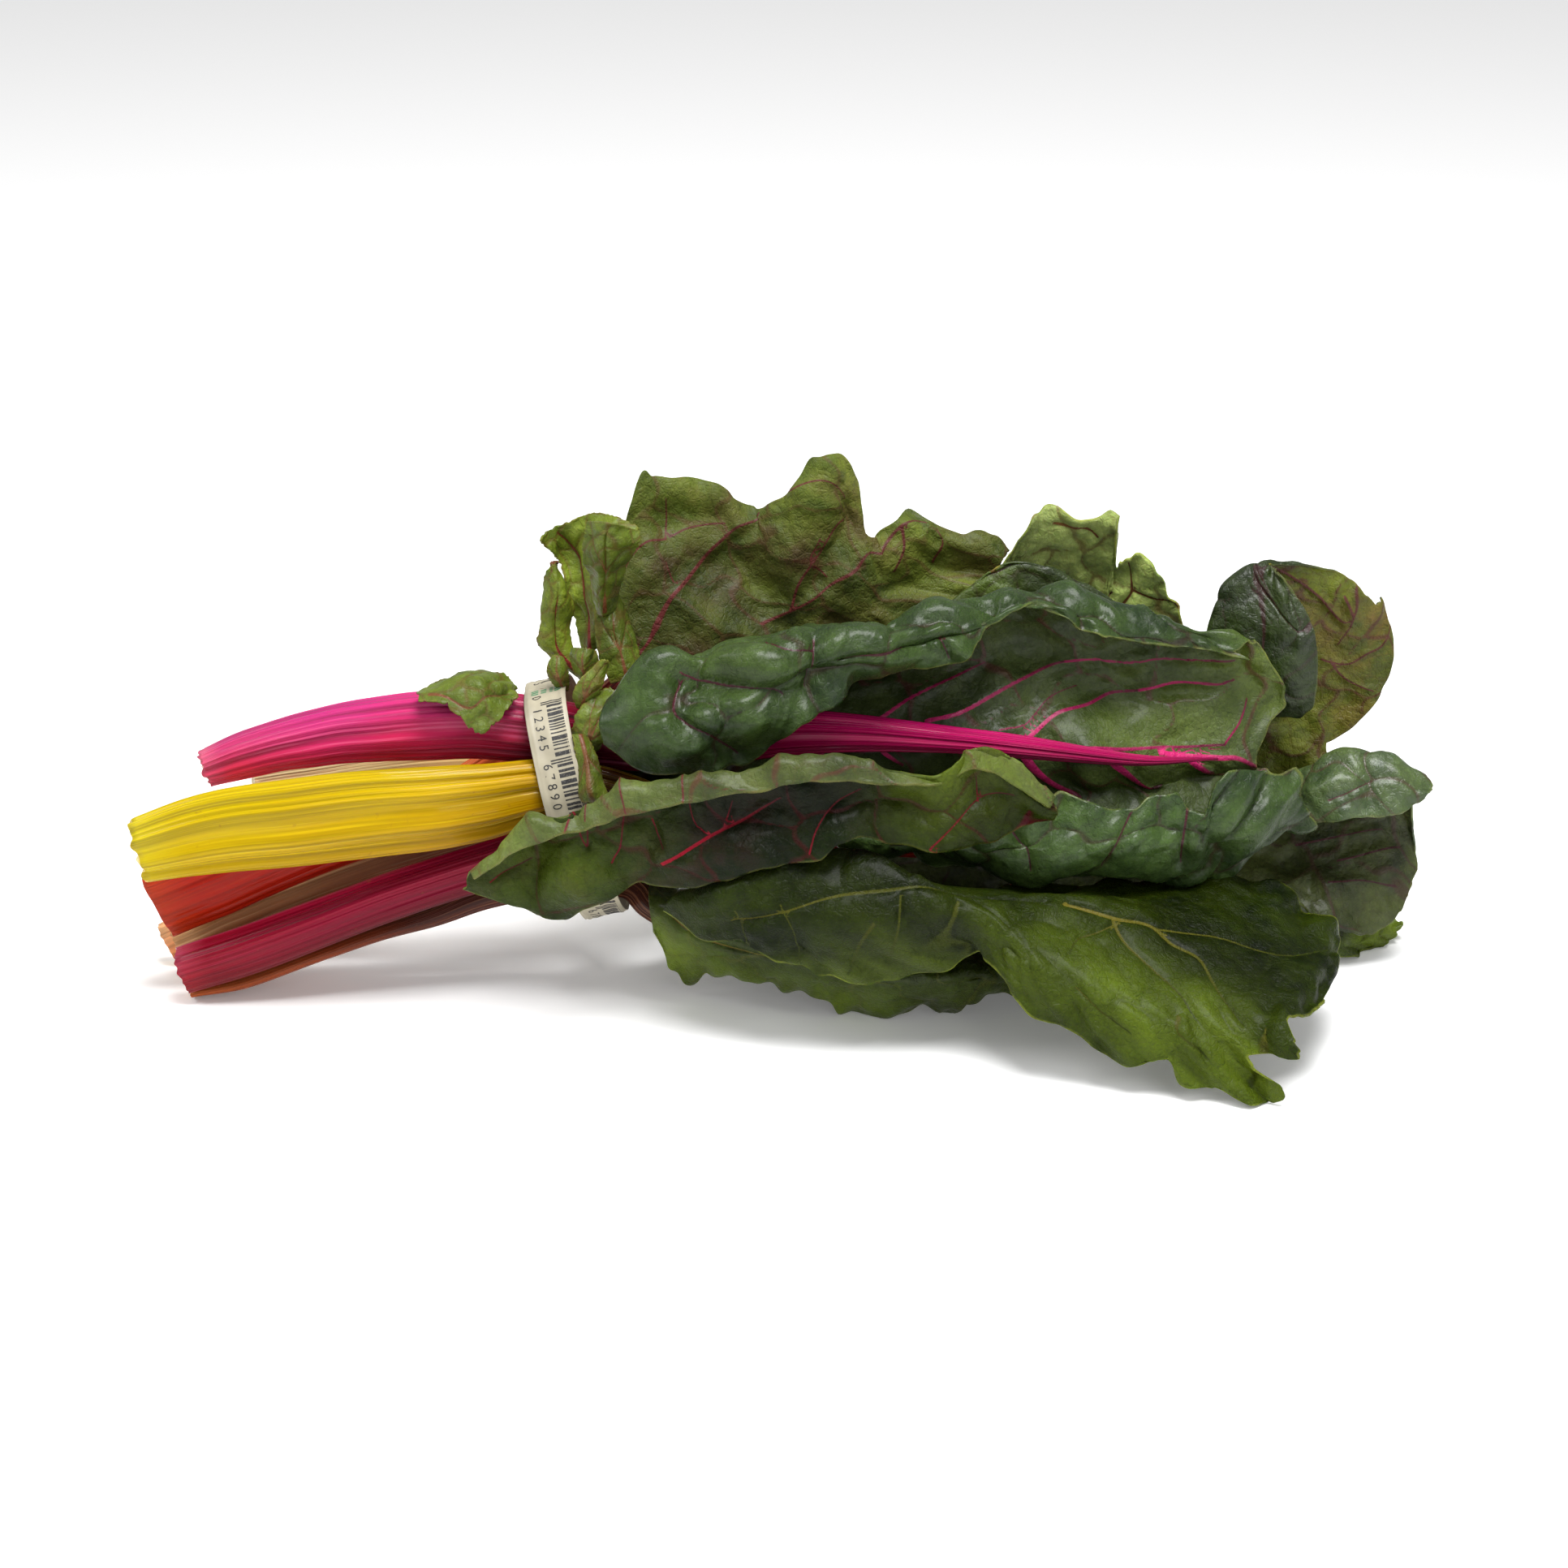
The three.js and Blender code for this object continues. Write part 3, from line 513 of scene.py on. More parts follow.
def cut_blade(name, node, rails, upper, veins, coats, seed, step=0.8, pucker=1.5, cell=13.0,
              ruffle=1.5, lobes=None, scallop=1.2, plump=((0, 1), (1, 1)), folds=(), patches=()):
    """A leaf blade: the sheet of its rails, trimmed, ruffled, veined and puckered.

    The rails run from the stalk to the tip, from one edge of the blade to the other. upper is 1
    where the glossy side is the one that the sheet faces, and -1 where it is the other.
    """
    even = np.linspace(0, 1, 60)
    rough = lay_sheet(rails, even, even)
    long_way = np.linalg.norm(np.diff(rough, axis=0), axis=2).sum(axis=0).max()
    wide_way = np.linalg.norm(np.diff(rough, axis=1), axis=2).sum(axis=1)
    columns, rows = int(long_way / step), int(np.percentile(wide_way, 80) / step)
    bm = bmesh.new()
    bmesh.ops.create_grid(bm, x_segments=columns, y_segments=rows, size=0.5)
    mesh = mesh_of(name, bm)
    raw = points_of(mesh)
    # The grid's points, put in order along the blade and then across it.
    order = np.lexsort((np.round(raw[:, 1], 5), np.round(raw[:, 0], 5)))
    u_line = np.linspace(0, 1, columns + 1)
    v_line = np.linspace(0, 1, rows + 1)

    # The edges are trimmed to their lobes by sliding each row of places along the sheet.
    whole = lay_sheet(rails, u_line, v_line)
    width = np.maximum(np.linalg.norm(np.diff(whole, axis=1), axis=2).sum(axis=1), LEAST_WIDTH)
    lobes = lobes or {}
    grown = eased(u_line / ROOT_SHARE) / width
    first = scalloped(u_line, lobes.get("first"), scallop, seed) * grown
    last = scalloped(u_line, lobes.get("last"), scallop, seed + 1) * grown
    first = np.clip(first, -MOST_IN, MOST_OUT_FIRST)[:, None]
    last = np.clip(last, -MOST_IN, MOST_OUT_LAST)[:, None]
    tip = scalloped(v_line, lobes.get("tip"), scallop, seed + 2) / long_way
    share = v_line - first * (1 - v_line) ** 2 + last * v_line**2
    reach = u_line[:, None] * (1 + tip * u_line[:, None] ** 6)
    whole_x, whole_y = flattened(whole)
    fields = np.concatenate([whole, whole_x[..., None], whole_y[..., None]], axis=2)
    fields = between(fields, reach * columns, share * rows)
    places, x, y = fields[..., :3], fields[..., 3], fields[..., 4]

    # Puckers swell between the veins and the seams, and the margin is ruffled.
    edge = np.minimum(np.minimum(y - y[:, :1], y[:, -1:] - y), x[-1:, :] - x)
    warp_x = x + SEAM_WANDER * drift(x, y, SEAM_WANDER_STEP, seed + 3)
    warp_y = y + SEAM_WANDER * drift(x, y, SEAM_WANDER_STEP, seed + 4)
    past, signed, half_width, glow = vein_field(x, y, whole_x, whole_y, veins)
    big, big_worth = cells(warp_x * CELL_STRETCH, warp_y, cell, seed + 5)
    small, small_worth = cells(warp_x, warp_y, cell * SMALL_CELL, seed + 6)
    seam = np.minimum(np.maximum(past, 0), big)
    swollen = (1 - np.exp(-seam / (cell * SWELL_WITHIN))) * (0.5 + 0.9 * big_worth)
    beads = (1 - np.exp(-np.minimum(small, seam) / BEAD_RADIUS)) * (0.5 + small_worth)
    soft = eased(edge / MARGIN) * 0.6 + 0.4
    fullness = pucker * np.interp(share, *np.array(plump, float).T)
    lift = fullness * (swollen - 0.55) * soft + fullness * BEAD_RISE * (beads - 0.5)
    lift += fullness * WAVE_RISE * drift(x, y, WAVE_STEP, seed + 7)
    lift += folded(x, y, whole_x, whole_y, folds)
    groove = np.exp(-(np.maximum(past + half_width, 0) / (half_width + GROOVE_SOFT)) ** 2)
    groove *= np.minimum(0.25 + 0.75 * half_width, DEEPEST_GROOVE)
    lift -= np.where(past < GROOVE_REACH, groove, 0)
    frill = drift(x, y * 0.5, 17, seed + 8) + 0.5 * drift(x, y, 8, seed + 9)
    lift += ruffle * eased(1 - edge / FRILL_MARGIN) * frill
    lift *= eased(x / ROOT_LENGTH)
    places = places + sheet_facing(places) * upper * lift[..., None]
    places[..., 2] = np.maximum(places[..., 2], BLADE_THICKNESS)
    laid = np.empty_like(raw)
    laid[order] = (places / METRE).reshape(-1, 3)
    mesh.vertices.foreach_set("co", laid.ravel())

    # Lighter, darker and yellower patches: the lighter ones are painted light and the darker ones
    # painted shade, while the yellower share mixes in a yellow-green. Then the other values that the
    # two coats read.
    light, lime = np.ones(x.shape), np.zeros(x.shape)
    for spot, size, lighter, yellower in patches:
        spot_x, spot_y = laid_flat(np.array([spot]), whole_x, whole_y)
        close = np.exp(-(np.hypot(x - spot_x, y - spot_y) / size) ** 2)
        light += lighter * close
        lime += yellower * close
    for_the_coats = {
        "light": np.maximum(light, 0.2), "lime": np.clip(lime, 0, 1), "vein_side": signed,
        "vein_past": past, "vein_half": half_width, "glow": glow, "seam": big,
        "bead": np.minimum(small, 3), "edge": np.clip(edge, 0, 30),
        "tone": 0.5 + 0.5 * drift(x, y, 32, seed + 10), "swell": np.clip(swollen, 0, 1),
    }
    for field, values in for_the_coats.items():
        laid = np.empty(len(raw))
        laid[order] = values.ravel()
        keep(mesh, field, laid)

    piece = piece_from(name, mesh, coats if upper > 0 else coats[::-1], node)
    wall = walled(piece, BLADE_THICKNESS, 0)
    wall.material_offset = 1
    wall.material_offset_rim = 0
    return piece


def leaf_side(name, fresh, deep, net, vein, bright, rim, roughness, net_share=0.7, gloss=0.3,
              mottle=None, shine=0.25, lime=(96, 112, 26), grain=1.0):
    """One side of a leaf blade: mottled green with darker seams, coloured veins and a thin rim,
    with painted shade between its puckers and painted light on their tops.
    """
    side = Finish(name)
    stored, ranged, noise = side.stored, side.ranged, side.noise
    place = side.scaled(side.add("ShaderNodeTexCoord")["Object"], METRE)
    cloud = noise(place, 0.09, 6.0, 0.62)
    grit = noise(place, 1.1, 3.0)
    colour = side.mixed(ranged(cloud, 0.34, 0.66), deep, fresh)
    if mottle:
        share = side.maths("MULTIPLY", stored("tone"), ranged(cloud, 0.42, 0.6))
        colour = side.mixed(share, colour, mottle)
    colour = side.mixed(stored("lime"), colour, lime)
    # The grit varies the tone at random. The swell term is painted shade in the seams between the
    # puckers and painted light on their tops, and the stored light carries the painted light and shade
    # of the patches.
    shade = side.maths("MULTIPLY", ranged(grit, 0.25, 0.75, 0.86, 1.14),
                       ranged(stored("swell"), 0.0, 1.0, 0.8, 1.12))
    colour = side.scaled(colour, side.maths("MULTIPLY", shade, stored("light")))

    # The net of fine veins, then the seams between the puckers, then the drawn veins.
    hair = side.add("ShaderNodeTexVoronoi", {"Vector": place, "Scale": 0.62},
                    feature="DISTANCE_TO_EDGE")["Distance"]
    colour = side.mixed(ranged(hair, 0.0, 0.06, 0.3 * net_share, 0.0), colour, net)
    colour = side.mixed(ranged(stored("bead"), 0.15, 0.5, 0.45 * net_share, 0.0), colour, net)
    colour = side.mixed(ranged(stored("seam"), 0.2, 0.62, net_share, 0.0), colour, vein)
    off_middle = side.maths("ABSOLUTE", stored("vein_side"))
    off_side = side.maths("SUBTRACT", off_middle, stored("vein_half"))
    on_vein = side.maths("MULTIPLY", ranged(off_side, -0.05, 0.16, 1.0, 0.0),
                         ranged(stored("vein_past"), 0.5, 0.8, 1.0, 0.0))
    colour = side.mixed(on_vein, colour, side.mixed(stored("glow"), vein, bright))
    rim_share = side.maths("MULTIPLY", ranged(stored("edge"), 0.15, 0.55, 0.5, 0.0),
                           ranged(cloud, 0.4, 0.6))
    colour = side.mixed(rim_share, colour, rim)

    # Blisters and crumples below the size of the puckers, with a fine grain on them.
    pull = side.scaled(noise(place, 0.16, out="Color"), 7.0)
    pulled = side.add("ShaderNodeVectorMath", {0: place, 1: pull}, operation="ADD")[0]
    blister = side.add("ShaderNodeTexVoronoi", {"Vector": pulled, "Scale": 0.2,
                                                "Smoothness": 0.7},
                       feature="SMOOTH_F1")["Distance"]
    crumple = side.maths("SUBTRACT", noise(place, 0.28, 3.0, 0.55), blister)
    fine = side.maths("ADD", noise(place, 2.6, 3.0, 0.6), ranged(hair, 0.0, 0.12))
    relief = side.bumped(crumple, 0.6, 0.0016)
    return side.done({
        "Base Color": colour, "Normal": side.bumped(fine, 0.28, 0.00035 * grain, relief),
        "Roughness": ranged(grit, 0.3, 0.7, roughness - 0.07, roughness + 0.1),
        "Specular IOR Level": shine, "Coat Weight": gloss, "Coat Roughness": 0.22,
        "Subsurface Weight": 0.2, "Subsurface Radius": (0.6, 1.0, 0.2),
        "Subsurface Scale": 0.001})


pink_rails = {
    "roll_edge": [
        [-43, -27, 73], [-32, -31, 67], [-17, -31, 68], [4, -29, 80], [23, -20, 87], [42, -14, 89],
        [60, -6, 100], [80, -2, 91], [100, 4, 87], [116, 8, 82],
    ],
    "roll_front": [
        [-44, -28, 79], [-32, -32, 81], [-17, -33, 85], [5, -30, 94], [23, -22, 96], [42, -14, 97],
        [60, -5, 102], [80, 0, 94], [100, 5, 89], [116, 9, 84],
    ],
    "roll_crest": [
        [-42, -20, 82], [-32, -20, 92], [-17, -20, 96], [5, -16, 99], [23, -10, 100], [42, -2, 100],
        [60, 6, 101], [80, 8, 96], [101, 10, 90], [117, 12, 85],
    ],
    "upper_face": [
        [-42, -4, 72], [-31, -4, 77], [-13, -2, 79], [7, 2, 81], [26, 6, 82], [45, 9, 82],
        [65, 12, 82], [85, 13, 75], [105, 14, 73], [125, 14, 71],
    ],
    "midrib_line": [
        [-42, -3, 63], [-31, -6, 64], [-13, -9, 68], [7, -8, 69], [27, -6, 67], [46, -4, 65],
        [67, -1, 61], [87, 2, 58], [107, 6, 57], [122, 10, 57],
    ],
    "trough": [
        [-42, -4, 59], [-31, -6, 55], [-12, -6, 53], [8, -5, 51], [28, -4, 49], [48, -2, 49],
        [68, 0, 49], [87, 2, 49], [107, 5, 51], [123, 9, 53],
    ],
    "lip_bottom": [
        [-41, -8, 56], [-30, -9, 50], [-11, -10, 46], [9, -12, 44], [29, -17, 41], [48, -21, 38],
        [67, -21, 37], [86, -20, 37], [107, -16, 36], [128, -4, 46],
    ],
    "lip_front": [
        [-41, -11, 57], [-29, -13, 51], [-10, -16, 48], [10, -20, 47], [29, -26, 46], [49, -31, 46],
        [67, -32, 46], [86, -31, 46], [106, -26, 46], [130, -10, 50],
    ],
    "lip_edge": [
        [-41, -10, 59], [-30, -12, 54], [-11, -15, 52], [9, -19, 52], [28, -24, 54], [48, -27, 56],
        [66, -28, 59], [85, -27, 57], [105, -23, 62], [126, -9, 61],
    ],
}
# A vein is its line over the blade, in shares of its length and width, then how wide it is at
# its root and at its end.
pink_veins = [
    ([(0.495, 0.47), (0.535, 0.46), (0.58, 0.435), (0.645, 0.4), (0.69, 0.375)], 0.9, 0.45),
    ([(0.69, 0.375), (0.735, 0.35), (0.795, 0.335), (0.86, 0.32), (0.935, 0.315)], 0.5, 0.3),
    ([(0.63, 0.48), (0.665, 0.45), (0.71, 0.43), (0.75, 0.4), (0.79, 0.385)], 0.85, 0.6),
    ([(0.79, 0.385), (0.845, 0.36), (0.9, 0.36), (0.925, 0.35)], 0.7, 0.4),
    ([(0.595, 0.475), (0.625, 0.465), (0.64, 0.45), (0.66, 0.43), (0.695, 0.41)], 0.3, 0.2),
    ([(0.7, 0.49), (0.815, 0.475), (0.9, 0.47)], 0.7, 0.4),
    ([(0.9, 0.47), (0.925, 0.435), (0.935, 0.41), (0.94, 0.39)], 0.4, 0.25),
    ([(0.425, 0.47), (0.465, 0.44), (0.525, 0.41), (0.575, 0.38)], 0.7, 0.4),
    ([(0.81, 0.485), (0.89, 0.495), (0.925, 0.5), (0.96, 0.53)], 1.1, 0.5),
    ([(0.625, 0.515), (0.645, 0.55), (0.67, 0.59), (0.69, 0.62)], 1.9, 1.2),
    ([(0.735, 0.5), (0.765, 0.53), (0.805, 0.6)], 1.3, 0.9),
    ([(0.85, 0.5), (0.875, 0.535)], 1.1, 0.7),
    ([(0.335, 0.525), (0.345, 0.535), (0.355, 0.55)], 1.3, 0.9),
    ([(0.43, 0.525), (0.45, 0.54)], 0.9, 0.6),
    ([(0.175, 0.195), (0.21, 0.18), (0.25, 0.15), (0.28, 0.115), (0.31, 0.065)], 0.6, 0.4),
    ([(0.165, 0.185), (0.155, 0.14), (0.175, 0.105), (0.22, 0.065), (0.255, 0.005)], 0.6, 0.4),
    ([(0.345, 0.19), (0.345, 0.13), (0.35, 0.085), (0.345, 0.05)], 0.5, 0.3),
    ([(0.39, 0.105), (0.445, 0.1), (0.495, 0.105), (0.53, 0.125), (0.57, 0.105),
      (0.6, 0.065)], 0.6, 0.4),
    ([(0.29, 0.2), (0.315, 0.17), (0.34, 0.165)], 0.5, 0.3),
    ([(0.53, 0.125), (0.54, 0.045)], 0.5, 0.3),
    ([(0.845, 0.965), (0.84, 0.905), (0.835, 0.835)], 0.6, 0.4),
    ([(0.765, 0.98), (0.745, 0.915), (0.725, 0.835)], 0.5, 0.3),
    ([(0.485, 0.935), (0.495, 0.875), (0.515, 0.82)], 0.5, 0.3),
    ([(0.585, 0.97), (0.61, 0.89), (0.62, 0.835)], 0.5, 0.3),
]
pink_upper = leaf_side(
    "pink_leaf_upper", fresh=(56, 75, 32), deep=(28, 43, 19), net=(41, 55, 26), vein=(50, 22, 26),
    bright=(84, 20, 36), rim=(120, 124, 62), roughness=0.4, net_share=0.5, gloss=0.22, shine=0.14)
pink_under = leaf_side(
    "pink_leaf_under", fresh=(69, 81, 40), deep=(41, 53, 23), net=(43, 51, 23), vein=(78, 14, 34),
    bright=(214, 36, 116), rim=(130, 124, 62), roughness=0.46, net_share=0.5, gloss=0.12, shine=0.2)
# A patch is its middle, its size, how much lighter it is and how much yellower. Lighter is painted
# light, and lighter below 0 is painted shade.
pink_patches = [
    ((0.96, 0.3), 9, 0.25, 0.4), ((0.99, 0.38), 8, 0.1, 0.3), ((0.7, 0.44), 12, 0.3, 0.1),
    ((0.6, 0.93), 14, 0.5, 0), ((0.78, 0.94), 14, 0.6, 0), ((0.87, 0.5), 10, 0.3, 0.1),
    ((0.845, 0.622), 13, -0.55, 0), ((0.84, 0.42), 14, 0.15, 0.25), ((0.775, 0.52), 12, 0.8, 0.1),
    ((0.44, 0.49), 16, -0.3, 0), ((0.08, 0.1), 12, -0.1, 0), ((0.25, 0.2), 14, 0.15, 0.1),
]
# A fold is its line, how far it reaches to each side, and how high it rises.
pink_folds = [
    ([(0.2, 0.235), (0.19, 0.175), (0.18, 0.12)], 3, -2),
    ([(0.168, 0.184), (0.226, 0.157), (0.278, 0.11), (0.33, 0.04)], 3, -2),
    ([(0.345, 0.23), (0.351, 0.154), (0.348, 0.05)], 3.5, -2.3),
    ([(0.464, 0.22), (0.474, 0.144), (0.506, 0.087)], 3, -1.6),
    ([(0.602, 0.2), (0.604, 0.054)], 3, -1.6),
    ([(0.085, 0.2), (0.095, 0.12)], 9, 2),
    ([(0.226, 0.09), (0.296, 0.04)], 7, 1.5),
    ([(0.26, 0.185), (0.32, 0.17)], 7, 1.8),
    ([(0.4, 0.16), (0.414, 0.09)], 8, 1.5),
    ([(0.51, 0.18), (0.566, 0.165)], 7, 1),
    ([(0.67, 0.41), (0.77, 0.36), (0.86, 0.34)], 5, -2),
    ([(0.7, 0.465), (0.805, 0.43), (0.885, 0.415)], 8, -2.5),
    ([(0.54, 0.435), (0.605, 0.41)], 5, -1.5),
    ([(0.975, 0.275), (0.98, 0.365)], 5, 2),
    ([(0.71, 0.53), (0.735, 0.61)], 5, -2),
    ([(0.805, 0.525), (0.825, 0.62)], 5, -2),
]
# Each edge is a row of stops: a share of its length, and how far it stands out there.
pink_lobes = {
    "first": [
        (0, 0), (0.19, 0), (0.24, 1.5), (0.27, 3.5), (0.31, 2.5), (0.34, 0.5), (0.44, -1),
        (0.54, -1.5), (0.58, -4), (0.61, -6), (0.65, -6), (0.7, 0), (0.73, 5), (0.76, 5), (0.775, 0),
        (0.8, -1.5), (0.83, 0), (0.86, 2), (0.9, 0), (1, 0),
    ],
    "last": [
        (0, 0), (0.3, -2), (0.5, 0), (0.65, 0.4), (0.67, 2.5), (0.71, 0.8), (0.74, -0.8), (0.77, 0),
        (0.795, 2.7), (0.83, 1.2), (0.85, -4), (0.868, -5.6), (0.88, 0.4), (0.9, 2.2), (0.95, 0.6),
        (0.975, -1), (1, 0),
    ],
    "tip": [
        (0, -2), (0.1, -6), (0.16, -4), (0.22, 0), (0.39, 0), (0.43, -3.5), (0.5, -7), (0.57, -7),
        (0.62, -3), (0.66, 1), (0.8, 0), (0.94, -2), (1, 0),
    ],
}
cut_blade(
    "pink_blade", "pink_leaf", pink_rails, upper=1, veins=pink_veins, coats=[pink_upper, pink_under],
    seed=101, pucker=2.3, cell=19, ruffle=1.0, scallop=0.7, patches=pink_patches,
    plump=((0, 1.5), (0.27, 1.5), (0.33, 0.6), (0.66, 0.6), (0.72, 1.5), (1, 1.5)), folds=pink_folds,
    lobes=pink_lobes)

# ---- Yellow stalk and leaf ----------------------------------------------------------------
# A broad yellow stalk with deep grooves, in front of the bunch. Its leaf has yellow-green veins
# and lies as a mound under the pink leaf, with its glossy side up and its tip on the surface.

yellow_route = [
    [-156, -24, 44.5, 16, 8], [-138, -24, 49, 20, 9], [-119.5, -24, 51.5, 21.5, 10],
    [-101, -23, 53.5, 21.5, 10], [-87, -22, 54.5, 20.5, 10], [-73.5, -20, 55.5, 18.5, 9.5],
    [-54.5, -17, 58, 14, 9], [-38.5, -20, 56.5, 12, 8], [-22.5, -24, 52, 10, 7], [-3, -28, 48, 8, 6],
    [18.5, -31, 44, 6, 5],
]
# The dark colours from 0.58 to 0.80 are painted shade, past the tie where the stalk runs under the
# leaves.
yellow_tints = [
    (0.00, (190, 174, 34), (186, 166, 24), (182, 160, 22)),
    (0.06, (184, 160, 3), (180, 152, 2), (176, 144, 2)),
    (0.45, (182, 152, 1), (172, 136, 1), (160, 118, 2)),
    (0.58, (166, 126, 0), (147, 106, 0), (70, 35, 1)),
    (0.64, (65, 30, 6), (53, 22, 6), (35, 12, 5)),
    (0.80, (71, 44, 11), (62, 39, 11), (35, 21, 6)),
    (1.00, (107, 104, 29), (98, 94, 26), (74, 72, 22)),
]
yellow_skin = stalk_skin("yellow_stalk_skin", (238, 208, 20), 0.25, 0.34)
yellow_flesh = cut_face("yellow_cut_face", (240, 226, 160), (214, 180, 80))
grow_stalk(
    "yellow_stem", "yellow_stalk", yellow_route, yellow_tints,
    ribs=[(9, 1.35, 0.2), (20, 0.35, 0.9), (34, 0.1, 1.7)], hollow=0.5, skin=yellow_skin,
    flesh=yellow_flesh, seed=21, ragged=1.4)

yellow_rails = {
    "near_edge": [
        [-29, -34, 33], [-13, -42, 26], [8, -47, 22], [26, -49, 22], [45, -50, 29], [53, -60, 23],
        [70, -66, 13], [88, -71, 7], [114, -76, -1],
    ],
    "near_face": [
        [-28, -36, 36], [-11, -46, 37], [9, -52, 38], [28, -54, 38], [46, -53, 38], [59, -60, 31],
        [76, -66, 23], [94, -71, 15], [117, -74, 8],
    ],
    "crest": [
        [-26, -36, 38], [-8, -43, 46], [15, -41, 51], [30, -47, 47], [46, -49, 41], [62, -50, 36],
        [80, -55, 29], [98, -63, 22], [118, -75, 15],
    ],
    "midrib_line": [
        [-25, -33, 38], [-7, -36, 41], [15, -36, 43], [32, -40, 42], [49, -40, 40], [68, -41, 39],
        [86, -43, 34], [103, -52, 26], [120, -72, 18],
    ],
    "far_face": [
        [-23, -29, 36], [-4, -29, 37], [18, -31, 35], [36, -31, 35], [56, -31, 35], [79, -28, 34],
        [101, -27, 33], [118, -38, 26], [126, -64, 18],
    ],
    "far_edge": [
        [-21, -26, 34], [-2, -23, 32], [21, -24, 30], [39, -22, 33], [60, -19, 34], [88, -15, 33],
        [114, -13, 34], [134, -18, 25], [132, -48, 16],
    ],
}
yellow_veins = [
    ([(0.12, 0.2), (0.14, 0.11), (0.16, 0.005)], 0.3, 0.2),
    ([(0.185, 0.235), (0.21, 0.145), (0.225, 0.015)], 0.3, 0.2),
    ([(0.365, 0.29), (0.37, 0.155), (0.36, 0.045)], 0.3, 0.2),
    ([(0.465, 0.33), (0.45, 0.14), (0.43, 0.035)], 0.3, 0.2),
    ([(0.12, 0.155), (0.23, 0.245), (0.35, 0.31), (0.485, 0.45), (0.6, 0.54)], 0.6, 0.4),
    ([(0.33, 0.185), (0.315, 0.12), (0.3, 0.025)], 0.3, 0.2),
    ([(0.635, 0.56), (0.71, 0.56), (0.76, 0.595), (0.805, 0.575), (0.855, 0.575), (0.9, 0.48),
      (0.935, 0.395)], 1.5, 0.5),
    ([(0.715, 0.54), (0.745, 0.475), (0.795, 0.43), (0.845, 0.38), (0.875, 0.315)], 0.7, 0.5),
    ([(0.72, 0.535), (0.7, 0.46), (0.68, 0.395), (0.675, 0.315)], 0.6, 0.3),
    ([(0.775, 0.6), (0.83, 0.69), (0.89, 0.78), (0.92, 0.95)], 0.7, 0.3),
    ([(0.855, 0.28), (0.86, 0.22), (0.9, 0.175)], 0.5, 0.3),
    ([(0.705, 0.18), (0.745, 0.145), (0.8, 0.125)], 0.5, 0.3),
    ([(0.965, 0.42), (0.97, 0.265), (0.97, 0.075)], 0.5, 0.3),
]
green_upper = leaf_side(
    "green_leaf_upper", fresh=(37, 48, 3), deep=(12, 21, 1), net=(33, 45, 4), vein=(40, 50, 5),
    bright=(96, 88, 28), rim=(136, 144, 50), roughness=0.4, net_share=0.25, gloss=0.05, shine=0.08,
    grain=3.0)
green_under = leaf_side(
    "green_leaf_under", fresh=(66, 79, 26), deep=(41, 52, 13), net=(66, 75, 25), vein=(110, 118, 50),
    bright=(140, 134, 50), rim=(136, 144, 50), roughness=0.5, net_share=0.4, gloss=0.1, shine=0.15)
yellow_patches = [
    ((0.795, 0.2), 22, 0.75, 0.25), ((0.98, 0.17), 14, 0.7, 0.3), ((0.8, 0.6), 18, -0.55, 0),
    ((0.92, 0.69), 14, -0.4, 0), ((0.6, 0.1), 14, 0.3, 0.2), ((0.28, 0.4), 30, -0.5, 0),
    ((0.22, 0), 5, 0.3, 0.3), ((0.3, 0), 5, 0.3, 0.3), ((0.37, 0), 5, 0.3, 0.3),
    ((0.44, 0), 6, 0.3, 0.3),
]
yellow_lobes = {
    "first": [
        (0, 0), (0.06, 2), (0.15, -3), (0.2, -1.5), (0.26, 0.7), (0.32, 1.3), (0.4, 2.1), (0.46, 3.4),
        (0.52, 0), (0.6, -1), (0.68, 2.5), (0.73, -1), (0.78, 1), (0.84, 3), (0.88, -6), (0.92, 2),
        (0.96, -1), (1, 0),
    ],
    "tip": [
        (0, -4), (0.03, 0), (0.08, 2), (0.13, 1), (0.18, -7), (0.24, -9), (0.29, -4), (0.34, 3),
        (0.42, 3), (0.5, 1), (0.64, -3), (0.8, -2), (1, -2),
    ],
    "last": [
        (0, 0), (0.6, -2), (0.76, -2), (0.81, 0), (0.86, -3), (0.92, 1), (0.97, 0), (1, -4),
    ],
}
cut_blade(
    "yellow_blade", "yellow_leaf", yellow_rails, upper=1, veins=yellow_veins,
    coats=[green_upper, green_under], seed=201, pucker=0.8, cell=17, ruffle=1.3, scallop=0.5,
    patches=yellow_patches, lobes=yellow_lobes)

# ---- Magenta stalk and leaf ---------------------------------------------------------------
# A square-edged dark red stalk low at the front. It carries a small narrow blade that passes
# in front of the tie, with red veins and its upper margin turned outwards.

magenta_route = [
    [-148.5, -12, 8.5, 11, 10], [-131.5, -13, 14.5, 11.5, 10], [-112.5, -13, 22, 11, 10],
    [-93.5, -13, 29.5, 11, 10], [-72.5, -13, 36.5, 11, 10], [-54.5, -14, 42.5, 12, 10],
    [-46, -15, 42, 10.5, 9], [-38, -20, 43, 9.5, 8], [-25.5, -31, 47.5, 8, 6],
    [-11, -36.5, 52, 6.5, 5], [6.5, -38, 56, 5, 4], [26, -38, 59, 3.5, 3],
]
magenta_tints = [
    (0.00, (175, 63, 85), (142, 20, 36), (124, 26, 32)),
    (0.04, (133, 7, 34), (120, 3, 26), (98, 7, 16)),
    (0.20, (130, 3, 36), (124, 2, 38), (86, 3, 16)),
    (0.45, (107, 3, 32), (107, 2, 32), (67, 2, 14)),
    (0.62, (81, 4, 21), (73, 3, 19), (46, 2, 9)),
    (1.00, (126, 12, 33), (101, 9, 26), (66, 6, 19)),
]
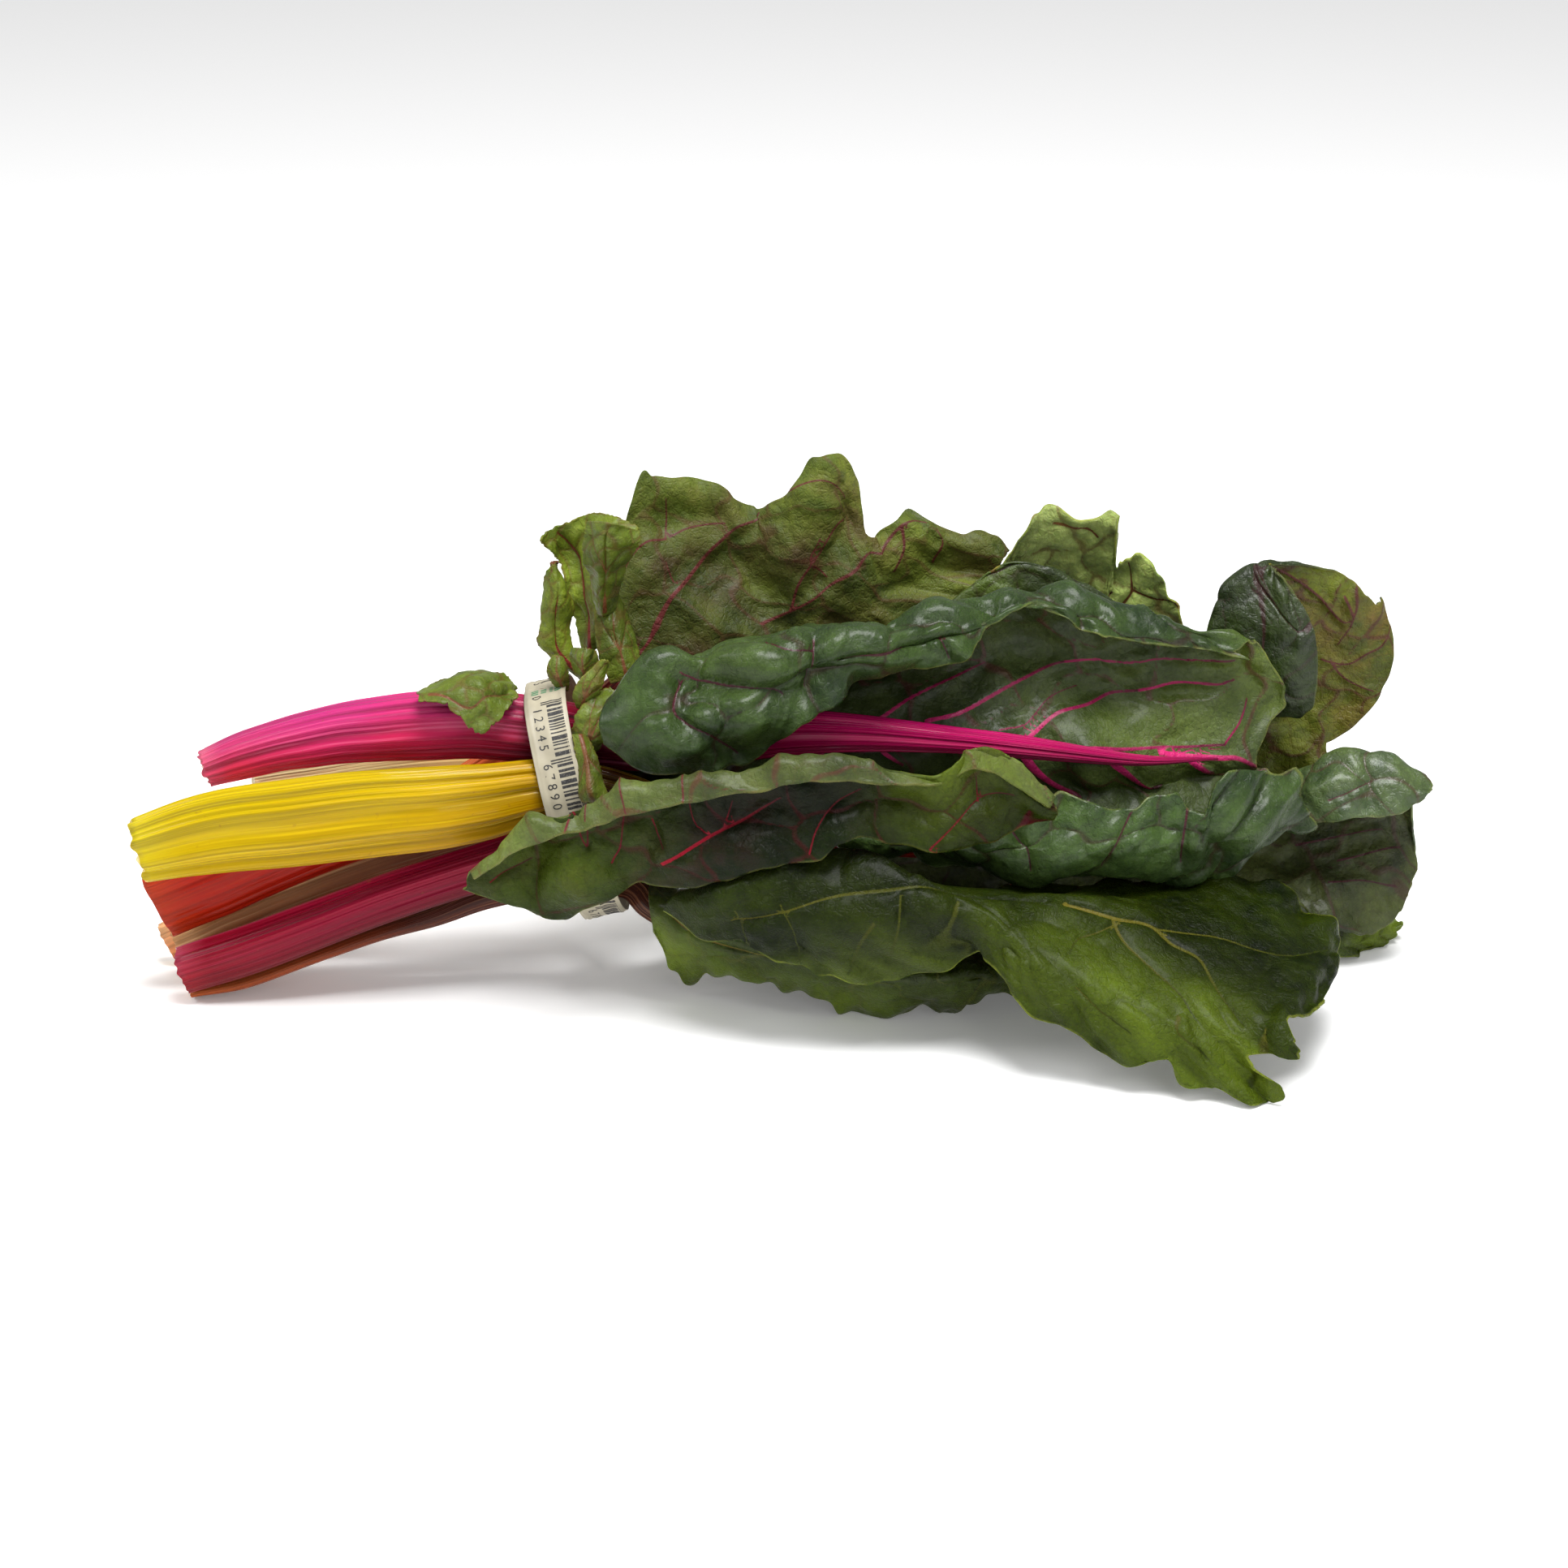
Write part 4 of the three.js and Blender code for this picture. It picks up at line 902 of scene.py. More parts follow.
# Its streak colour is partly pale strings and partly painted highlight lines along the skin.
magenta_skin = stalk_skin("magenta_stalk_skin", (214, 62, 104), 0.24, 0.34)
magenta_flesh = cut_face("magenta_cut_face", (226, 170, 160), (170, 70, 80))
grow_stalk(
    "magenta_stem", "magenta_stalk", magenta_route, magenta_tints,
    ribs=[(4, 0.9, 0.5), (16, 0.25, 0.9), (40, 0.12, 1.7)], hollow=0.4, skin=magenta_skin,
    flesh=magenta_flesh, seed=31)

magenta_rails = {
    "turned_edge": [
        [-74, -39, 43], [-61, -42, 52], [-44, -44, 58], [-26, -46, 64], [-7, -47, 68], [13, -48, 71],
        [33, -46, 69], [47, -43, 72], [63, -38, 60],
    ],
    "crest": [
        [-75, -37, 44], [-62, -39, 56], [-44, -40, 63], [-26, -42, 68], [-6, -43, 72], [13, -44, 75],
        [33, -42, 72], [49, -40, 77], [64, -36, 62],
    ],
    "upper_face": [
        [-76, -36, 42], [-61, -37, 50], [-44, -39, 55], [-25, -41, 59], [-5, -42, 62], [15, -43, 65],
        [34, -42, 64], [50, -40, 67], [65, -36, 60],
    ],
    "lower_face": [
        [-76, -36, 40], [-60, -38, 43], [-43, -40, 46], [-24, -43, 50], [-4, -45, 54], [16, -46, 58],
        [35, -44, 58], [50, -41, 59], [65, -36, 59],
    ],
    "lower_edge": [
        [-77, -35, 39], [-60, -37, 34], [-43, -39, 37], [-23, -42, 42], [-3, -46, 47], [17, -48, 51],
        [35, -46, 52], [50, -42, 53], [64, -36, 57],
    ],
}
magenta_veins = [
    ([(0.345, 0.785), (0.415, 0.64), (0.47, 0.555), (0.525, 0.455)], 0.9, 0.35),
]
magenta_fine_veins = [
    [(0.265, 0.705), (0.285, 0.55), (0.3, 0.045)],
    [(0.195, 0), (0.23, 0.585), (0.23, 0.085)],
    [(0.41, 0.6), (0.395, 0.485), (0.39, 0)],
    [(0.44, 0.58), (0.455, 0.455)],
    [(0.335, 0.5), (0.345, 0.665)],
    [(0.56, 0.87), (0.575, 0.69), (0.605, 0.53), (0.645, 0.455)],
    [(0.75, 0.94), (0.8, 0.705), (0.84, 0.58), (0.91, 0.545)],
    [(0.84, 0.58), (0.84, 0.45)],
    [(0.685, 0.915), (0.75, 0.995), (0.855, 0.975), (0.985, 0.92)],
    [(0.05, 0.71), (0.07, 0.645), (0.12, 0.6)],
]
magenta_veins += [(line, 0.35, 0.2) for line in magenta_fine_veins]
red_upper = leaf_side(
    "red_veined_upper", fresh=(28, 45, 5), deep=(13, 23, 2), net=(22, 19, 3), vein=(60, 12, 18),
    bright=(164, 10, 40), rim=(92, 94, 40), roughness=0.44, net_share=0.5, gloss=0.06, shine=0.08,
    mottle=(40, 30, 18))
red_under = leaf_side(
    "red_veined_under", fresh=(96, 108, 50), deep=(64, 76, 32), net=(70, 60, 34), vein=(84, 26, 30),
    bright=(120, 30, 44), rim=(110, 104, 50), roughness=0.5, net_share=0.5, gloss=0.1, shine=0.2)
magenta_patches = [
    ((0.1, 0.6), 14, 0.25, 0.2), ((0.22, 0.7), 15, 0.25, 0.1), ((0.3, 0.5), 12, 0.15, 0.1),
    ((0.45, 0.7), 16, -0.4, 0), ((0.58, 0.63), 16, -0.4, 0), ((0.73, 0.48), 12, 0, 0.3),
    ((0.82, 0.3), 14, 0.15, 0.7), ((0.89, 0.69), 12, -0.4, 0.1), ((0.2, 0.1), 16, -0.25, 0),
    ((0.45, 0.05), 18, -0.35, 0), ((0.66, 0.1), 16, -0.4, 0), ((0.85, 0.12), 14, -0.3, 0),
    ((0.8, 0.65), 14, -0.3, 0),
]
magenta_folds = [
    ([(0.1, 0.1), (0.15, 0.4), (0.12, 0.75)], 4, -2.5),
    ([(0.06, 0.3), (0.05, 0.8)], 6, 2),
    ([(0.2, 0.35), (0.23, 0.65), (0.19, 0.95)], 6, 2.5),
    ([(0.3, 0.3), (0.32, 0.6), (0.3, 0.9)], 4, -2),
    ([(0.3, 0.25), (0.45, 0.22), (0.62, 0.3)], 4, -1.5),
    ([(0.66, 0.35), (0.72, 0.6), (0.7, 0.9)], 4, -1.5),
    ([(0.78, 0.4), (0.82, 0.7)], 6, 2),
]
magenta_lobes = {
    "last": [
        (0, 0), (0.05, -1.4), (0.1, 0.3), (0.18, 2.5), (0.22, 0), (0.29, -1.2), (0.37, 0),
        (0.43, -0.2), (0.49, -1.5), (0.57, -1.5), (0.605, -4.9), (0.635, -5.8), (0.69, -3),
        (0.76, -0.3), (0.87, -0.9), (0.92, -1.2), (1, 0),
    ],
}
cut_blade(
    "magenta_blade", "magenta_leaf", magenta_rails, upper=-1, veins=magenta_veins,
    coats=[red_upper, red_under], seed=301, pucker=1.7, cell=17, ruffle=0.7, scallop=0.6,
    patches=magenta_patches, folds=magenta_folds, lobes=magenta_lobes)

# ---- Coral stalk and leaf -----------------------------------------------------------------
# An orange-red stalk under the yellow one. Its blade ends at the far right as a glossy roll
# over a dark underside with purple veins.

coral_route = [
    [-155, -5, 23, 18, 7], [-136.5, -5, 31, 18, 7], [-116.5, -5, 40, 18, 7], [-97, -5, 46, 17, 7],
    [-79, -4, 48.5, 16.5, 7], [-55.5, -3, 50, 16, 7], [-33.5, 3, 44.5, 13, 6], [-3, 8, 38.5, 11, 6],
    [37.5, 11, 34, 9, 5], [68, 12, 33, 7, 5], [88.5, 12, 33.5, 5, 4], [109, 14, 33, 3, 3],
]
coral_tints = [
    (0.00, (169, 55, 23), (156, 41, 14), (160, 45, 14)),
    (0.05, (151, 23, 5), (148, 21, 4), (151, 27, 4)),
    (0.20, (133, 9, 3), (135, 13, 3), (135, 18, 3)),
    (0.45, (104, 6, 1), (109, 7, 3), (106, 11, 3)),
    (1.00, (89, 12, 8), (84, 11, 7), (73, 8, 6)),
]
coral_skin = stalk_skin("coral_stalk_skin", (214, 80, 18), 0.14, 0.36)
coral_flesh = cut_face("coral_cut_face", (226, 180, 140), (190, 100, 70))
grow_stalk(
    "coral_stem", "coral_stalk", coral_route, coral_tints, ribs=[(6, 0.5, 0.5), (20, 0.2, 0.9)],
    hollow=0.5, skin=coral_skin, flesh=coral_flesh, seed=41)

coral_rails = {
    "near_edge": [
        [21, 7, 40], [67, 6, 42], [87, 5, 43], [104, 5, 42], [120, 6, 42], [132, 2, 42], [143, 0, 44],
        [152, 0, 45], [158, 3, 48],
    ],
    "near_face": [
        [21, 9, 41], [68, 9, 43], [88, 8, 44], [104, 9, 45], [120, 12, 46], [132, 6, 51], [143, 4, 53],
        [153, 4, 52], [160, 6, 50],
    ],
    "roll_crest": [
        [21, 13, 40], [68, 13, 42], [88, 13, 43], [104, 15, 45], [121, 17, 48], [131, 15, 53],
        [140, 13, 57], [150, 12, 56], [159, 10, 52],
    ],
    "inner_face": [
        [21, 17, 34], [68, 17, 36], [89, 18, 36], [105, 20, 37], [122, 22, 38], [134, 22, 39],
        [146, 20, 40], [155, 18, 37], [158, 16, 35],
    ],
    "far_face": [
        [21, 18, 26], [68, 18, 28], [89, 19, 27], [105, 20, 27], [122, 20, 27], [136, 18, 27],
        [148, 16, 27], [155, 15, 27], [159, 15, 26],
    ],
    "lower_edge": [
        [21, 17, 18], [58, 16, 15], [85, 15, 15], [107, 14, 17], [123, 13, 21], [135, 10, 18],
        [146, 10, 15], [154, 12, 16], [159, 13, 20],
    ],
}
coral_fine_veins = [
    [(0.66, 0.105), (0.715, 0.135), (0.775, 0.195)],
    [(0.665, 0.815), (0.75, 0.775), (0.855, 0.74)],
    [(0.645, 0.92), (0.73, 0.885), (0.845, 0.905)],
    [(0.57, 0.755), (0.67, 0.72), (0.785, 0.68)],
]
coral_veins = [(line, 0.4, 0.2) for line in coral_fine_veins]
coral_upper = leaf_side(
    "coral_leaf_upper", fresh=(80, 96, 51), deep=(49, 65, 37), net=(61, 70, 39), vein=(66, 34, 32),
    bright=(84, 30, 40), rim=(120, 124, 66), roughness=0.36, net_share=0.5, gloss=0.3)
coral_under = leaf_side(
    "coral_leaf_under", fresh=(76, 84, 40), deep=(40, 47, 22), net=(51, 45, 25), vein=(58, 26, 30),
    bright=(74, 28, 36), rim=(104, 110, 50), roughness=0.46, net_share=0.5, gloss=0.12, shine=0.2)
coral_lobes = {
    "tip": [
        (0, 2), (0.2, 3), (0.35, 0), (0.5, -4), (0.6, -1), (0.72, 3), (0.82, 3), (0.93, -3), (1, -7),
    ],
    "last": [(0, 0), (0.5, 0), (0.62, 6), (0.8, 6), (0.93, 3), (1, 0)],
}
cut_blade(
    "coral_blade", "coral_leaf", coral_rails, upper=1, veins=coral_veins,
    coats=[coral_upper, coral_under], seed=401, pucker=1.3, cell=15, ruffle=0.9, scallop=0.7,
    lobes=coral_lobes)

# ---- Tan stalk and leaf -------------------------------------------------------------------
# A brownish stalk behind the magenta one. Its blade stands on edge behind the pink leaf: one
# lobe shows above it, and the folded tip shows both its sides at the right.

tan_route = [
    [-151.5, 3, 8, 10, 6], [-135.5, 4, 15, 11, 6], [-115, 5, 23, 11, 6], [-94.5, 6, 30, 11.5, 6],
    [-74, 7.5, 36, 12, 6], [-56, 9, 42, 12, 6], [-33.5, 15, 45.5, 11, 6], [-3.5, 20, 51.5, 9, 5],
    [37.5, 25, 56.5, 7, 4], [68.5, 27, 58, 5.5, 4], [93, 29, 58.5, 4, 3],
]
tan_tints = [
    (0.00, (196, 150, 100), (180, 130, 84), (170, 110, 70)),
    (0.10, (190, 144, 96), (160, 104, 66), (140, 76, 50)),
    (0.45, (120, 66, 52), (104, 50, 44), (90, 40, 36)),
    (1.00, (110, 60, 50), (100, 44, 44), (80, 34, 34)),
]
tan_skin = stalk_skin("tan_stalk_skin", (226, 196, 150), 0.4, 0.38)
tan_flesh = cut_face("tan_cut_face", (230, 206, 160), (170, 120, 80))
grow_stalk(
    "tan_stem", "tan_stalk", tan_route, tan_tints, ribs=[(6, 0.5, 0.1), (20, 0.25, 0.9)], hollow=0.4,
    skin=tan_skin, flesh=tan_flesh, seed=51)

tan_rails = {
    "near_edge": [
        [31, 20, 66], [45, 20, 67], [60, 21, 67], [76, 22, 66], [92, 22, 66], [104, 23, 65],
        [120, 22, 63], [131, 20, 64], [133, 20, 75], [131, 22, 88], [124, 26, 98],
    ],
    "near_face": [
        [30, 20, 73], [44, 21, 77], [59, 21, 79], [76, 22, 77], [92, 24, 73], [104, 25, 70],
        [114, 22, 70], [122, 20, 74], [126, 20, 81], [126, 22, 89], [123, 28, 99],
    ],
    "fold": [
        [33, 23, 82], [43, 24, 94], [57, 25, 103], [71, 26, 98], [88, 27, 88], [103, 29, 78],
        [107, 30, 87], [110, 31, 94], [116, 32, 99], [120, 33, 100], [123, 34, 99],
    ],
    "inner_face": [
        [32, 27, 73], [45, 29, 78], [59, 31, 82], [74, 32, 80], [91, 33, 73], [103, 35, 68],
        [118, 38, 73], [128, 39, 80], [134, 40, 87], [138, 40, 92], [140, 40, 95],
    ],
    "far_face": [
        [32, 29, 61], [45, 31, 63], [59, 33, 63], [75, 34, 62], [91, 35, 61], [106, 37, 58],
        [123, 39, 57], [135, 40, 61], [143, 41, 69], [149, 42, 77], [149, 42, 87],
    ],
    "far_edge": [
        [32, 30, 52], [46, 32, 51], [61, 33, 51], [76, 35, 51], [93, 36, 51], [108, 38, 51],
        [127, 38, 53], [140, 38, 50], [152, 40, 62], [155, 42, 75], [151, 43, 88],
    ],
}
tan_veins = [
    ([(0.12, 0.405), (0.175, 0.37), (0.215, 0.395), (0.25, 0.395)], 0.6, 0.4),
    ([(0.895, 0), (0.83, 0.64), (0.995, 0.68)], 0.4, 0.25),
    ([(0.75, 0.72), (0.81, 0.785), (0.875, 0.825), (0.935, 0.97)], 0.4, 0.25),
    ([(0.77, 0.74), (0.79, 0.845), (0.8, 0.94)], 0.35, 0.2),
    ([(0.9, 0.65), (0.88, 0.7), (0.81, 0.72)], 0.35, 0.2),
]
dark_upper = leaf_side(
    "dark_leaf_upper", fresh=(48, 62, 21), deep=(23, 33, 12), net=(35, 37, 14), vein=(42, 26, 20),
    bright=(54, 24, 24), rim=(92, 96, 44), roughness=0.4, net_share=0.5, gloss=0.2)
blush_under = leaf_side(
    "blush_leaf_under", fresh=(96, 104, 27), deep=(64, 70, 16), net=(71, 52, 19), vein=(70, 32, 24),
    bright=(86, 36, 34), rim=(110, 100, 44), roughness=0.5, net_share=0.7, gloss=0.1, shine=0.2,
    mottle=(100, 80, 32), grain=2.0)
tan_patches = [
    ((0.175, 0.35), 12, 0.6, 0.1), ((0.12, 0.355), 10, 0.4, 0.1), ((0.6, 1), 8, 0.4, 0),
]
tan_lobes = {
    "last": [
        (0, 0), (0.53, 0), (0.55, 30), (0.6, 36), (0.65, 22), (0.69, -1), (1, 0),
    ],
}
cut_blade(
    "tan_blade", "tan_leaf", tan_rails, upper=1, veins=tan_veins, coats=[dark_upper, blush_under],
    seed=501, pucker=0.9, cell=13, ruffle=0.8, scallop=0.7, patches=tan_patches, lobes=tan_lobes)

# ---- Orange stalk and leaf ----------------------------------------------------------------
# Its stalk is hidden in the middle of the bunch. The blade stands up behind the others, with
# its olive underside and red veins to the front and a lobed top edge.

orange_route = [
    [-155.5, 13, 5, 12, 6], [-130, 14, 17.5, 14, 6], [-105, 13.5, 31, 14, 6],
    [-92.5, 12.5, 38.5, 14, 6], [-80, 11, 46, 14, 6], [-68, 10, 54, 14, 6], [-56, 9, 60.5, 13.5, 6],
    [-46.5, 14, 66.5, 11, 6], [-39, 20, 72.5, 8, 5], [-32.5, 23, 78, 5, 3.5],
]
orange_tints = [
    (0.00, (226, 170, 120), (216, 140, 90), (206, 110, 60)),
    (0.10, (214, 120, 60), (206, 104, 50), (190, 86, 44)),
    (0.60, (180, 76, 40), (170, 64, 40), (140, 50, 34)),
    (0.85, (120, 34, 34), (104, 28, 34), (80, 24, 30)),
    (1.00, (110, 34, 40), (96, 28, 36), (76, 22, 30)),
]
orange_skin = stalk_skin("orange_stalk_skin", (240, 180, 120), 0.35, 0.36)
orange_flesh = cut_face("orange_cut_face", (240, 206, 150), (206, 130, 70))
grow_stalk(
    "orange_stem", "orange_stalk", orange_route, orange_tints, ribs=[(6, 0.5, 0.1), (20, 0.25, 0.9)],
    hollow=0.4, skin=orange_skin, flesh=orange_flesh, seed=61)

orange_rails = {
    "top_edge": [
        [-42, 32, 101], [-36, 36, 120], [-31, 38, 121], [-20, 40, 119], [-13, 41, 115], [-6, 42, 109],
        [4, 38, 117], [11, 36, 127], [18, 37, 120], [21, 39, 107], [31, 42, 111], [42, 43, 106],
        [51, 44, 105], [57, 43, 100],
    ],
    "upper_face": [
        [-43, 31, 94], [-36, 34, 108], [-30, 36, 108], [-19, 37, 107], [-12, 38, 104], [-4, 37, 101],
        [5, 34, 108], [12, 33, 114], [18, 34, 109], [23, 36, 100], [31, 39, 103], [42, 41, 100],
        [50, 41, 100], [55, 41, 98],
    ],
    "middle": [
        [-42, 28, 87], [-36, 30, 94], [-30, 32, 94], [-19, 33, 94], [-11, 33, 92], [-3, 33, 91],
        [5, 32, 94], [13, 31, 98], [19, 33, 95], [24, 35, 91], [32, 37, 93], [41, 38, 94],
        [49, 39, 95], [54, 39, 96],
    ],
    "lower_face": [
        [-41, 26, 82], [-35, 27, 84], [-29, 28, 85], [-18, 29, 85], [-11, 30, 84], [-3, 31, 84],
        [6, 31, 85], [13, 32, 86], [19, 33, 86], [24, 34, 85], [32, 36, 86], [41, 37, 88],
        [49, 38, 90], [53, 38, 94],
    ],
    "lower_edge": [
        [-39, 24, 77], [-34, 25, 75], [-28, 26, 74], [-18, 28, 73], [-11, 30, 73], [-2, 31, 73],
        [7, 32, 74], [13, 33, 75], [20, 33, 76], [25, 34, 77], [33, 35, 77], [41, 36, 80],
        [48, 37, 85], [53, 37, 92],
    ],
}
orange_veins = [
    ([(0.015, 0.985), (0.115, 0.76), (0.18, 0.525), (0.225, 0.365), (0.27, 0.26),
      (0.39, 0)], 0.8, 0.35),
    ([(0.465, 0.015), (0.51, 0.09), (0.55, 0.145), (0.575, 0.17)], 0.35, 0.2),
    ([(0.02, 0.945), (0.01, 0.69), (0, 0.385)], 0.8, 0.4),
    ([(0.365, 0.74), (0.425, 0.655), (0.525, 0.555), (0.59, 0.46), (0.66, 0.28), (0.755, 0.12),
      (0.795, 0.08)], 0.4, 0.25),
    ([(0.425, 0.655), (0.45, 0.48), (0.5, 0.39), (0.575, 0.28)], 0.4, 0.25),
    ([(0.035, 0.33), (0.15, 0.3), (0.2, 0.245), (0.27, 0.19)], 0.4, 0.25),
]
orange_fine_veins = [
    [(0.155, 0.3), (0.16, 0.21), (0.16, 0.115)],
    [(0.17, 0.48), (0.155, 0.4)],
    [(0.51, 0.5), (0.48, 0.4), (0.5, 0.345)],
    [(0.815, 0.34), (0.825, 0.19), (0.815, 0.1)],
    [(0.755, 0.12), (0.755, 0.27), (0.73, 0.355)],
]
orange_veins += [(line, 0.3, 0.2) for line in orange_fine_veins]
# These folds give the upright blade its soft ridges and the creases between them.
orange_folds = [
    ([(0.02, 0.41), (0.11, 0.425), (0.2, 0.31), (0.32, 0.165), (0.435, 0), (0.49, 0.025),
      (0.545, 0.055)], 6, -2.5),
    ([(0.245, 0.38), (0.32, 0.39), (0.365, 0.5), (0.385, 0.71)], 7, 3),
    ([(0.185, 0.62), (0.21, 0.73), (0.22, 0.845)], 5, -2),
    ([(0.485, 0.145), (0.45, 0.26), (0.415, 0.36)], 6, -2.5),
    ([(0.6, 0.235), (0.555, 0.37), (0.525, 0.44), (0.505, 0.52)], 4, 3),
    ([(0.56, 0.65), (0.655, 0.4), (0.755, 0.235), (0.815, 0.14), (0.94, 0.145)], 6, -2.5),
    ([(0.765, 0.5), (0.83, 0.43), (0.905, 0.42)], 5, 2.5),
    ([(0.16, 0.245), (0.245, 0.185)], 4, 2),
    ([(0.115, 0.065), (0.205, 0.065), (0.275, 0.075)], 4, -1.5),
]
olive_under = leaf_side(
    "olive_leaf_under", fresh=(96, 106, 36), deep=(51, 61, 18), net=(76, 70, 28), vein=(78, 34, 28),
    bright=(104, 36, 38), rim=(96, 84, 40), roughness=0.52, net_share=0.4, gloss=0.06, shine=0.2,
    mottle=(66, 52, 26), grain=3.0)
orange_patches = [
    ((0.17, 0.11), 14, 0.35, 0.25), ((0.53, 0.11), 14, 0.35, 0.2), ((0.245, 0.515), 16, -0.4, 0),
    ((0.48, 0.555), 12, -0.25, 0), ((0.755, 0.235), 14, 0.45, 0.15), ((0.095, 0.775), 10, -0.3, 0),
]
orange_lobes = {
    "first": [
        (0, 0), (0.06, 3), (0.13, 0), (0.29, 0.5), (0.31, -0.7), (0.37, 2), (0.42, 1.5), (0.46, 0),
        (0.5, 2.5), (0.53, 0), (0.58, 1.5), (0.62, 1), (0.65, -7), (0.68, -4), (0.716, -1.4),
        (0.746, -2), (0.77, 0.3), (0.8, -1), (0.84, -1), (1, 0),
    ],
}
cut_blade(
    "orange_blade", "orange_leaf", orange_rails, upper=1, veins=orange_veins,
    coats=[dark_upper, olive_under], seed=601, pucker=0.8, cell=15, ruffle=0.8, scallop=0.5,
    folds=orange_folds, patches=orange_patches, lobes=orange_lobes)

# ---- Cream stalk and leaf -----------------------------------------------------------------
# A pale stalk at the back. Its blade closes the back of the bunch, underside and midrib out,
# and two of its top lobes show over the other leaves.

cream_route = [
    [-131.5, 8, 49, 12, 5], [-114.5, 13, 50, 13, 6], [-94.5, 17.5, 51.5, 13, 6],
    [-74.5, 18.5, 52.5, 13, 6], [-56.5, 17.5, 54, 13, 6], [-45, 18.5, 52.5, 12.5, 6],
    [-36, 25.5, 52, 12, 6], [-28, 33, 50.5, 11.5, 6], [-12, 47.5, 47, 10.5, 6], [12, 61.5, 41, 9, 5.5],
    [38, 67.5, 37, 7, 5], [62, 69.5, 33, 5.5, 4.5], [85, 69.5, 31, 4, 4],
]
cream_tints = [
    (0.00, (240, 226, 180), (236, 216, 160), (226, 200, 140)),
    (0.30, (232, 208, 140), (226, 198, 124), (206, 176, 104)),
    (0.60, (214, 200, 136), (206, 190, 120), (190, 170, 100)),
    (1.00, (180, 180, 110), (170, 172, 100), (150, 150, 86)),
]
cream_skin = stalk_skin("cream_stalk_skin", (250, 240, 200), 0.35, 0.36)
cream_flesh = cut_face("cream_cut_face", (244, 236, 206), (214, 190, 130))
grow_stalk(
    "cream_stem", "cream_stalk", cream_route, cream_tints, ribs=[(8, 0.6, 0.1), (20, 0.3, 0.9)],
    hollow=-0.3, skin=cream_skin, flesh=cream_flesh, seed=71)

cream_rails = {
    "top_edge": [
        [-32, 25, 66], [-14, 42, 84], [10, 50, 92], [35, 50, 94], [57, 47, 98], [69, 46, 107],
        [82, 46, 107], [86, 46, 96], [94, 46, 93], [99, 47, 84], [104, 50, 66],
    ],
    "upper_face": [
        [-33, 21, 58], [-14, 41, 68], [10, 54, 72], [35, 58, 73], [56, 58, 74], [67, 56, 77],
        [77, 56, 77], [86, 55, 73], [95, 54, 69], [104, 53, 63], [114, 52, 52],
    ],
    "midrib_line": [
        [-34, 19, 50], [-14, 39, 48], [12, 56, 42], [38, 63, 38], [58, 66, 35], [68, 66, 33],
        [78, 66, 32], [87, 66, 32], [96, 65, 32], [107, 63, 32], [122, 58, 33],
    ],
    "lower_face": [
        [-32, 20, 41], [-12, 41, 31], [12, 58, 24], [38, 66, 17], [58, 69, 14], [69, 70, 13],
        [80, 70, 12], [90, 70, 12], [99, 69, 12], [108, 67, 13], [118, 62, 18],
    ],
    "floor_edge": [
        [-29, 23, 33], [-8, 46, 16], [14, 62, 5], [40, 72, 0], [60, 75, 0], [72, 76, 0], [84, 76, 0],
        [93, 76, 0], [101, 74, 0], [109, 71, 2], [116, 66, 10],
    ],
}
cream_veins = [
    ([(0.495, 0), (0.545, 0.025), (0.58, 0.045)], 0.8, 0.4),
    ([(0.71, 0.145), (0.73, 0.09), (0.715, 0.005)], 0.8, 0.4),
    ([(0.73, 0.09), (0.805, 0.085), (0.905, 0)], 0.6, 0.4),
]
for start in (0.1, 0.22, 0.34, 0.46, 0.58):
    for side in (-1, 1):
        cream_veins.append(([(start, 0.52), (start + 0.09, 0.52 + 0.17 * side),
                             (start + 0.2, 0.52 + 0.36 * side)], 1.2, 0.4))
cream_veins.append(([(0.62, 0.52), (0.8, 0.53), (0.93, 0.5)], 1.6, 0.5))
# Both sides are painted lighter than the other leaves' greens: painted light for the back lobes, which
# face away from the lamps, on top of the leaf's own green.
light_upper = leaf_side(
    "light_leaf_upper", fresh=(134, 146, 82), deep=(94, 106, 56), net=(116, 97, 45), vein=(96, 50, 34),
    bright=(130, 96, 50), rim=(130, 134, 60), roughness=0.44, net_share=0.5, gloss=0.12, shine=0.22)
light_under = leaf_side(
    "light_leaf_under", fresh=(116, 128, 56), deep=(78, 92, 36), net=(130, 114, 53),
    vein=(130, 112, 60), bright=(200, 180, 104), rim=(140, 138, 66), roughness=0.5, net_share=0.5,
    gloss=0.08, shine=0.2)
cream_patches = [
    ((0.5, 0.03), 16, 0.9, 0), ((0.78, 0.04), 14, 1.7, 0.1),
]
cream_lobes = {
    "first": [
        (0, 0), (0.3, 0), (0.38, -6), (0.4, 0), (0.415, 7), (0.43, 9.6), (0.46, 6.5), (0.56, 0),
        (0.6, 3), (0.64, 6.5), (0.655, -9), (0.68, -2), (0.72, 3), (0.74, 4.3), (0.83, 2.2),
        (0.87, -2), (0.9, 0), (1, 0),
    ],
}
cut_blade(
    "cream_blade", "cream_leaf", cream_rails, upper=-1, veins=cream_veins,
    coats=[light_upper, light_under], seed=701, step=1.0, pucker=1.4, cell=14, ruffle=1.2, scallop=1.0,
    patches=cream_patches, lobes=cream_lobes)

# ---- Rust stalk and leaf ------------------------------------------------------------------
# A flat brown stalk under all the others. Its ruffled blade lies on the surface and carries
# the bunch, glossy side up.

